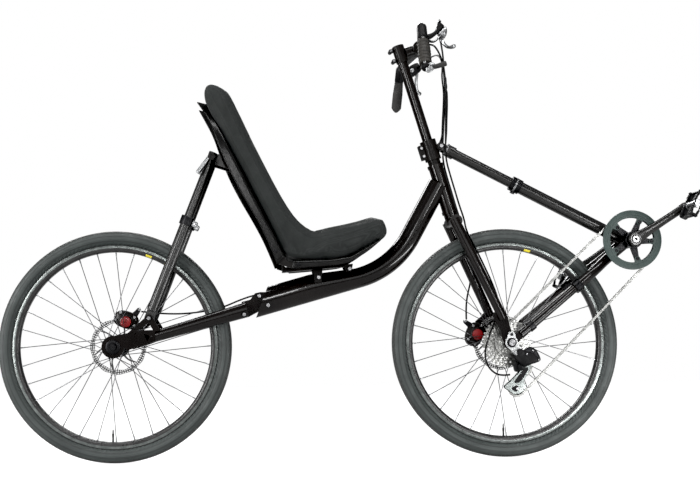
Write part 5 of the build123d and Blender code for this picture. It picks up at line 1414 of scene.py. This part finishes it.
flange_line = from_rider([(-335, 363), (-318, 335), (-295, 294), (-273, 225), (-236, 138), (-163, 11.5),
                          (-134, -54), (-118, -95)])
pan_rim = from_rider([(-77, -108), (-24, -104), (66, -96.6), (87, -88.5), (130, -63), (161, -37)])
for name, node_name, front, rim, taper in (("back_shell", "seat_shell", back_line, flange_line, 0.55),
                                           ("seat_tray", "seat_pan", seat_line, pan_rim, 0.0)):
    behind_pad = offset_line(evenly(front, 60), 1.9)
    sheet = moulding(behind_pad, evenly(eased(rim, 2), 60), half=122.5, corner=8.0, taper=taper)
    made = piece(name, "frame", shell_plastic, sheet, stands_for=[node_name], slot="shell", close=False)
    thicken(made, 3.0)
print("shells folded")

# %% [markdown]
# The brakes are mechanical calipers.  Each has two cast halves astride the disc, a bridge over its
# edge, an arm that the cable pulls, and on the wheel's side a ribbed red knob that moves the pad
# closer as it wears.  The halves are cut from one outline with wide soft edges, like the castings
# they are, and the knob is a turned shape whose radius ripples once for every rib.

# %% Brake calipers
def ribbed(centre, low, high, radius, ribs, depth):
    """A knob: radius - depth·(1 + cos(ribs·angle))/2 between two smooth, slightly smaller faces."""
    outline = np.array([(0, low), (radius - 2.2, low), (radius, low + 0.8), (radius, high - 0.8),
                        (radius - 2.2, high), (0, high)])
    middle = centre + outline[:, 1:, None] * (0, 1.0, 0)
    ripple = 1 - depth / radius * (1 + np.cos(circle(ribs * 4) * ribs)) / 2
    return middle + (turned(outline, centre, ribs * 4) - middle) * ripple[None, :, None]


half_outline = [(55, -18), (62, -30), (80, -36), (97, -28), (104, -10), (104, 16), (96, 32), (78, 38),
                (62, 31), (55, 16)]
bridge_outline = [(84, -30), (98, -26), (104, -10), (104, 16), (96, 30), (84, 34)]
pull_arm = [(88, -6), (78, -4), (76, -14), (84, -24), (100, -27), (122, -32), (124, -21), (108, -14),
            (97, -4)]
knob_seat = [(8, 38.2), (17.0, 38.2), (18.6, 39.4), (18.6, 41.5), (8, 41.5), (8, 38.2)]
cap = [(0, 0), (4.2, 0), (4.2, 0.6), (3.7, 1), (2.0, 1), (1.8, 0.4), (0, 0.4)]
bolt_spots = [(70, -27), (72, 29), (93, -20), (95, 22), (118, -26.5)]
bolt_y = np.array((39.8, 39.8, 39.8, 39.8, 43.2))
caliper_foot = [(58, 24), (66, 40), (72, 36), (62, 20)]
knob_ribs = 20
for end, body, angle in (("front", "front_assembly", 161.6), ("rear", "frame", 72.3)):
    axle = wheel_axles[end]
    knob_at = standing(spun([(73.3, 0)], axle, angle), 0.0)[0]
    halves = [cut_plate(spun(line, axle, angle), low, high, edge) for line, low, high, edge in (
        (half_outline, 39.6, 49.2, 2.6), (half_outline, 54.8, 64.6, 2.6), (bridge_outline, 40.4, 63.6, 2.0))]
    piece(f"{end}_caliper_halves", body, satin_black, *halves, turned(knob_seat, knob_at, 32),
          stands_for=[f"{end}_brake_caliper"], slot="satin_black", angle=50)
    piece(f"{end}_pad_knob", body, red_plastic,
          ribbed(knob_at, low=34.5, high=38.1, radius=15.8, ribs=knob_ribs, depth=1.2),
          slot="satin_black", angle=30)
    piece(f"{end}_pull_arm", body, black_anodised, cut_plate(spun(pull_arm, axle, angle), 43.0, 47.0, 1.2),
          slot="satin_black")
    foot = standing(spun(bolt_spots, axle, angle), bolt_y)
    piece(f"{end}_caliper_bolts", body, bright_steel, bars(foot, foot - (0, 3.6, 0), cap, 12),
          slot="steel", close=False)
    piece(f"{end}_caliper_foot", body, brushed_alloy,
          cut_plate(spun(caliper_foot, axle, angle), 56.0, 63.0, 1.0), slot="steel")
print("knobs turned with", knob_ribs, "ribs")

# %% [markdown]
# The handlebar comes back to the rider on both sides.  The near grip is a foam sleeve under wound
# tape, the far one is rubber: ridged above, smooth and pointed below.  Both are tubes along the
# bar's sloping end.  Winding is worked out, not only drawn: the radius rises along each turn of
# tape and drops at its overlap, so that the steps show in the outline.

# %% Grips
bar_corner, bar_end = beside(bar_middle, -28.0, 228.0, 4.0), beside(bar_middle, -29.0, 292.0, -118.0)
far_corner, far_end = beside(bar_middle, -20.0, 228.0, 3.0), beside(bar_middle, -26.0, 291.0, -110.0)
right_side = np.array((1.0, -1.0, 1.0))


def on_bar_end(share, side=1):
    """Points on a bar's downward run, on the left for side 1 and on the right for -1."""
    share = np.asarray(share, float)[..., None]
    if side > 0:
        return far_corner + share * (far_end - far_corner)
    return (bar_corner + share * (bar_end - bar_corner)) * right_side


def sleeve(path, radius):
    """A tube whose radius is given for every point of its path and every angle round it."""
    along = unit(np.gradient(path, axis=0))
    side = unit(np.cross(along, np.array((1.0, 0, 0))))
    up = np.cross(along, side)
    angle = circle(radius.shape[1] - 1)[None, :, None]
    return path[:, None] + radius[..., None] * (np.cos(angle) * side[:, None] + np.sin(angle) * up[:, None])


tape_turns, tape_step, bar_radius = 7, 1.3, 12.3
share = np.linspace(0.42, 0.995, 121)
t = (share - share[0])[:, None] / (share[-1] - share[0])
step = (t * tape_turns + np.linspace(0, 1, 33)[None, :]) % 1.0
radius = 15.4 + 0.9 * np.sin(math.pi * t) + tape_step * step * np.clip(np.minimum(t, 1 - t) * 12, 0, 1)
radius[[0, -1]] = bar_radius
piece("wound_tape_grip", "front_assembly", bar_tape, sleeve(on_bar_end(share, -1), radius),
      stands_for=["grips"], slot="grip", angle=50)
grip_start, ridges, ridged_part = 0.34, 15, 0.45
share = np.concatenate((np.linspace(grip_start, 1.0, 100), np.linspace(1.005, 1.115, 16)))
t = np.clip((share - grip_start) / (1 - grip_start), 0, 1)
ridge = 0.8 * (np.sin(t * 2 * math.pi * ridges) > 0) * (t < ridged_part)
point = 12.4 * np.clip((share - 1.0) / 0.12, 0, 1) ** 1.3
radius = 12.2 + 2.0 * np.clip(t / 0.4, 0, 1) + ridge + 1.0 * (t >= ridged_part) - point
radius[[0, -1]] = bar_radius, 0.4
piece("pointed_rubber_grip", "front_assembly", grip_rubber,
      sleeve(on_bar_end(share), np.repeat(radius[:, None], 29, 1)), slot="grip", angle=30)
print("rubber grip's length", round(np.linalg.norm(far_end - far_corner) * (share[-1] - share[0])), "mm")

# %% [markdown]
# The bar itself is one bent tube and the stem is a clamp, a short bar and a round face.  The bar is
# drawn as straight runs whose corners are replaced by smooth curves, as a bending machine leaves
# them, and a circle is carried along the whole line.

# %% Bar and stem
def bent(points, cuts, steps=9):
    """Each inner corner becomes the curve (1-t)²·start + 2t(1-t)·corner + t²·end, a cut away each way."""
    points = np.asarray(points, float)
    line = [points[:1]]
    t = np.linspace(0, 1, steps)[:, None]
    for before, corner, after, cut in zip(points, points[1:], points[2:], cuts):
        start, end = corner + cut * unit(before - corner), corner + cut * unit(after - corner)
        line.append((1 - t) ** 2 * start + 2 * t * (1 - t) * corner + t**2 * end)
    return np.concatenate(line + [points[-1:]])


near_half, far_half = (bent([bar_middle, beside(bar_middle, 0, 50.0, 0), corner, end], (12.0, 20.0))
                       for corner, end in ((bar_corner, bar_end), (far_corner, far_end)))
whole_bar = np.concatenate((near_half[:0:-1] * right_side, far_half))
piece("bent_bar", "front_assembly", sleek_black,
      carried(whole_bar, round_outline(24, 11.1, 11.1), facing=(1, 0, 0)),
      stands_for=["handlebar"], slot="satin_black")
clamp = [(14.35, 0), (16.6, 0), (17.4, 0.9), (17.4, 49.1), (16.6, 50), (14.35, 50), (14.35, 0)]
face = [(11.3, -22), (18.0, -22), (19.0, -21), (19.0, 21), (18.0, 22), (11.3, 22), (11.3, -22)]
reach_way = unit(bar_middle - on_steer(stem_height))
pinch = [(0, -9), (5.1, -9), (5.8, -8.3), (5.8, 8.3), (5.1, 9), (0, 9)]
stem = [turned(clamp, on_steer(stem_height - 25.0), 40, steer_up), turned(face, bar_middle, 40),
        tube(on_steer(stem_height) + 16.5 * reach_way, bar_middle - 14.0 * reach_way, 14.2, 28)]
for up in (stem_height + 15.0, stem_height - 15.0):
    stem += [turned(pinch, on_steer(up, -25.0), 20), tube(on_steer(up, -15.0), on_steer(up, -24.0), 5.6)]
piece("clamped_stem", "front_assembly", satin_black, *stem, stands_for=["stem"], slot="satin_black")
print("bar line of", len(whole_bar), "points")

# %% [markdown]
# Each brake lever is a small body clamped round the bar, an arm that reaches forward to its pivot,
# and a flat curved blade for the fingers.  The near one has a pointed black cap over a silver
# pivot housing; the far one is a plain black box.  They are carried and cut shapes again; the
# blades taper, because the size along a carried path may change at every step.

# %% Brake levers
def off_bar(side, rows):
    """Points measured from the handlebar's middle, for the left (1) or the right (-1)."""
    return bar_middle + np.asarray(rows, float) * (1.0, side, 1.0)


def plate_off_bar(side, outline, low, high, edge, rounds=2):
    """A plate whose outline is measured from the handlebar's middle, between two distances sideways."""
    rows = np.asarray(outline, float) + bar_middle[[0, 2]]
    return cut_plate(rows, *sideways(side, low, high), edge, rounds)


band = [(11.3, -24), (12.6, -23), (13.4, -20), (13.6, 17), (12.8, 20), (11.3, 21), (11.3, -24)]
near_way = (bar_end - bar_corner) * right_side
hood = [(-22, -27), (-11, -24), (-4, -22), (4, -17), (9, -10), (11, -1), (13.5, 8), (17, 12), (22, 6),
        (32, -3), (24, -10.5), (17, -18), (8, -25), (-2, -33), (-14, -38), (-22, -38)]
far_arm = eased(off_bar(1, [(-15, 245, -30), (-2, 243, -20), (10, 241, -8), (20, 240, -2)]), 2)
far_box = [(7, 4), (10, 9), (32, 19.5), (38, 14), (47, -2), (40, -9), (16, -26), (11, -15)]
strip_way = eased(off_bar(-1, [(-13, 243, -41), (-5, 243, -45), (4, 243, -44), (12, 243, -37),
                               (20, 242, -29)]), 2)
bodies = [turned(band, on_bar_end(0.2, -1), 32, near_way),
          turned(band, on_bar_end(0.2), 32, far_end - far_corner),
          plate_off_bar(-1, hood, 228, 250, 3.6, 1),
          carried(far_arm, round_outline(20, 8.0, 7.0), np.linspace(1.15, 1.0, len(far_arm))),
          plate_off_bar(1, far_box, 227, 251, 2.0, 1), carried(strip_way, round_outline(12, 4.2, 2.6))]
piece("lever_bodies", "front_assembly", black_plastic, *bodies, stands_for=["bar_controls"],
      slot="black_plastic", angle=50)
wedge = [(12, -23), (19, -17), (26, -9.5), (34, -2), (38, -14), (36, -26), (32, -34), (22, -29)]
tip = [(14.5, 9), (15.5, 14), (19, 16.5), (22.5, 13), (23, 8.5), (18, 11)]
far_pivot = [(0, 225.6), (5.6, 225.6), (6.6, 226.6), (6.6, 251.4), (5.6, 252), (0, 252)]
silver = [plate_off_bar(-1, wedge, 228.5, 249.5, 2.6, 1), plate_off_bar(-1, tip, 232, 246, 2.0, 1),
          carried(strip_way + (1.2, -1.6, 1.4), round_outline(12, 3.4, 1.7)),
          turned(far_pivot, off_bar(1, (16, 0, -6)), 20)]
piece("lever_pivots", "front_assembly", brushed_alloy, *silver, slot="steel", angle=50)
near_blade = eased(off_bar(-1, [(21, 240, -32), (26, 243, -46), (34, 257, -62), (42, 272, -67),
                                (51, 285, -66)]), 3)
far_blade = eased(off_bar(1, [(34, 243, -12), (31, 249, -30), (33, 259, -50), (39, 268, -66),
                              (50, 275, -70)]), 3)
flat_bar = round_outline(16, 2.6, 5.0)
blade_size = swelling(near_blade, (0, 0.2, 0.6, 0.85, 1), (0.8, 1.0, 0.85, 1.15, 0.8))
piece("finger_blades", "front_assembly", brushed_alloy, carried(near_blade, flat_bar, blade_size),
      carried(far_blade, flat_bar, blade_size), stands_for=["brake_blades"], slot="steel", angle=50)
print("lever blades of", len(near_blade), "steps")

# %% [markdown]
# At the near grip's end sits the bar-end shifter: a black plug in the bar, a silver pivot, and a
# dark grey paddle that points forward to the thumb.

# %% Gear paddle
plug = [(0, -4), (11.0, -4), (12.4, -2.6), (12.4, 12), (10.4, 16.5), (0, 18)]
piece("shifter_plug", "front_assembly", black_plastic, turned(plug, on_bar_end(0.985, -1), 28, near_way),
      slot="black_plastic", angle=50)
bracket = [(-38, -113), (-31, -109), (-24, -118), (-15, -112), (-5, -118), (-6, -130), (-15, -138),
           (-25, -142), (-30, -137), (-31, -124)]
pivot = [(0, 308.6), (5.0, 308.6), (5.8, 308), (5.8, 300), (0, 300)]
piece("shifter_bracket", "front_assembly", brushed_alloy, plate_off_bar(-1, bracket, 297.5, 304.0, 1.6),
      turned(pivot, off_bar(-1, (-18, 0, -127)), 24, (0, -1, 0)), slot="steel", angle=50)
paddle_way = eased(off_bar(-1, [(-13, 301, -127), (0, 301, -124), (13, 301, -119.5), (24, 301, -116)]), 3)
paddle_size = swelling(paddle_way, (0, 0.25, 0.8, 0.95, 1), (0.7, 0.95, 1.1, 1.0, 0.6))
piece("shifter_paddle", "front_assembly", grip_rubber,
      carried(paddle_way, round_outline(20, 5.0, 6.4), paddle_size), slot="black_plastic", angle=50)
print("paddle of", len(paddle_way), "steps")

# %% [markdown]
# Where the housings run down in front of the riser they are bundled in black sleeves, and the gear
# housing has a grey barrel that trims its length.  A sleeve follows the housings inside it, so its
# path is read from their own curves.

# %% Sleeves and barrel
def down_line(names, high, low, steps):
    """The mean of some housings' lines at even heights, in the builder's measures."""
    heights = np.linspace(high, low, steps)
    found = []
    for name in names:
        line = lines[name] * 1000 + rider_place
        line = line[np.argmax(line[:, 2] < high + 25):]
        order = np.argsort(line[:, 2])
        ways = [np.interp(heights, line[order, 2], line[order, k]) for k in (0, 1)]
        found.append(np.stack([*ways, heights], -1))
    return np.mean(found, 0)


sleeve_top = 1046
near_sleeve = down_line(["shift_cable"], sleeve_top, 887, 24)
far_sleeve = down_line(["front_brake_cable", "lever_brake_cable"], sleeve_top, 905, 22)
near_size, far_size = (swelling(path, (0, 0.03, 0.1, 0.75, 1), sizes) for path, sizes in (
    (near_sleeve, (0.55, 0.95, 1.0, 0.92, 0.55)), (far_sleeve, (0.8, 0.97, 1.0, 0.96, 0.8))))
piece("cable_sleeves", "front_assembly", cable_skin,
      carried(near_sleeve, round_outline(16, 4.2, 4.2), near_size),
      carried(far_sleeve, round_outline(20, 7.2, 4.2), far_size), slot="cable", angle=50)
barrel_way = down_line(["shift_cable"], 1082, 1048, 8)
barrel_size = np.array((0.75, 1.0, 1.0, 0.85, 0.85, 1.0, 1.0, 0.8))
piece("trim_barrel", "front_assembly", black_anodised,
      carried(barrel_way, round_outline(14, 3.9, 3.9), barrel_size), slot="steel")
print("sleeves from height", sleeve_top, "down")

# %% [markdown]
# The tubes that telescope are held by black clamping collars.  Each has a bright pinch bolt, and a
# few have a bright band where the anodising is machined away.  The seat's two struts hang from a
# cross bolt that a silver cam lever tightens.

# %% Collars, bands and cam lever
boom_pivot = on_steer(54.1, 30.1)
boom_way = unit(crank_axle - boom_pivot)
outer_length = 365.0
boom_split = np.linalg.norm(crank_axle - boom_pivot) - outer_length
band_line = [(14.6, 0), (21.4, 0), (21.9, 0.5), (21.9, 4.6), (21.4, 5.1), (14.6, 5.1), (14.6, 0)]
start_line = [(14.4, 0), (18.6, 0), (19.2, 0.6), (19.2, 4.6), (18.6, 5.2), (14.4, 5.2), (14.4, 0)]
piece("boom_bands", "front_assembly", brushed_alloy,
      turned(band_line, boom_pivot + boom_way * (boom_split + 3.0), 40, boom_way),
      turned(start_line, boom_pivot + boom_way * 16.4, 40, boom_way), slot="steel", angle=30)
strut_foot, strut_top = beside(rear_axle, 98.0, 61.9, 78.0), rider_place + np.array((-296.0, 45.0, 210.0))
strut_way = unit(strut_top - strut_foot)
strut_lean = math.degrees(math.atan2(strut_way[2], strut_way[0])) - 90
pinch = [(13, -9), (29, -9), (31, -7), (31, 5), (29, 7), (13, 7)]
collar_share, bolt_lean = 0.6, -21.0
blocks, middles = [], []
for side in (1, -1):
    spot = (strut_foot + collar_share * (strut_top - strut_foot)) * (1, side, 1)
    blocks.append(cut_plate(spun(pinch, spot, strut_lean), spot[1] - 8, spot[1] + 8, 1.4))
    middles.append(standing(spun([(23, -1)], spot, bolt_lean), spot[1])[0])
middles = np.array(middles)
piece("strut_pinches", "frame", brushed_alloy, *blocks, slot="steel")
pin_line = [(0, 0), (3.6, 0), (4.2, 0.03), (4.2, 0.15), (2.4, 0.15), (2.4, 0.85), (4.2, 0.85), (4.2, 0.97),
            (3.6, 1), (0, 1)]
piece("pinch_bolts", "frame", bright_steel, bars(middles - (0, 11, 0), middles + (0, 11, 0), pin_line, 14),
      slot="steel", close=False)
cam_y = -64.2
cam_way = eased([beside(strut_top, *row) for row in (
    (-2, cam_y, 4), (-13, cam_y - 1, -12), (-26, cam_y, -30), (-38, cam_y, -48))], 2)
cam_size = swelling(cam_way, (0, 0.2, 0.9, 1), (0.9, 0.8, 1.1, 0.75))
piece("cam_lever", "frame", brushed_alloy, carried(cam_way, round_outline(16, 2.6, 7.2), cam_size),
      slot="steel", angle=50)
print("boom splits at", round(boom_split), "mm from its pivot")

# %% [markdown]
# The rear hub's axle ends in a round black cap, with a bright ring where its edge is turned back to
# bare metal.  The frame's bolts get real heads: a domed rim round a socket.  Their places are
# already in the model, so each bolt's own box is read and a head is put on both ends.

# %% Axle cap and bolt heads
cap_line = [(0, 75.6), (6, 75.6), (7, 76.2), (17.5, 76.2), (20.0, 75.0), (20.6, 72.9), (8, 72.9)]
piece("rear_axle_cap", "frame", black_anodised, turned([(r, -p) for r, p in cap_line], rear_axle, 40),
      slot="satin_black", close=False)
edge_line = [(27.0, -73.5), (28.8, -73.5), (29.4, -72.9), (27.0, -72.9), (27.0, -73.5)]
piece("rear_edge_ring", "frame", cage_steel, turned(edge_line, rear_axle, 48), slot="steel")


def bolt_islands(name):
    """Lowest and highest corners of each separate part of a node's mesh, in the builder's measures."""
    probe = bmesh.new()
    probe.from_mesh(nodes[name].data)
    bmesh.ops.remove_doubles(probe, verts=probe.verts, dist=1e-6)
    left, boxes = set(probe.verts), []
    for start in probe.verts:
        if start not in left:
            continue
        left.discard(start)
        island = [start]
        for vert in island:
            beyond = [edge.other_vert(vert) for edge in vert.link_edges]
            beyond = [other for other in dict.fromkeys(beyond) if other in left]
            left.difference_update(beyond)
            island += beyond
        spots = np.array([v.co for v in island]) * 1000 + rider_place
        boxes.append((spots.min(0), spots.max(0)))
    probe.free()
    return boxes


head_line = np.array([(0, 1.6), (0.42, 1.6), (0.5, 0.0), (0.8, -0.2), (1.0, 0.8), (1.0, 1.9), (0, 1.9)])
head_share, slimness, most_uneven = 0.36, 4, 1.0
for name, body in (("frame_bolts", "frame"), ("front_bolts", "front_assembly")):
    heads = []
    for low, high in bolt_islands(name):
        wide, long_, tall = high - low
        radius = min(wide, tall) * head_share
        if long_ < slimness * radius or abs(wide - tall) > most_uneven:
            continue
        for side, y in ((-1, low[1]), (1, high[1])):
            middle = (low + high) / 2 * (1, 0, 1) + (0, y - side * 1.2, 0)
            heads.append(turned(head_line * (radius, 1) + (0, 0.4), middle, 18, (0, side, 0)))
    piece(name.replace("bolts", "bolt_heads"), body, bright_steel, *heads, slot="steel", close=False)
    print(name, "have", len(heads), "heads")
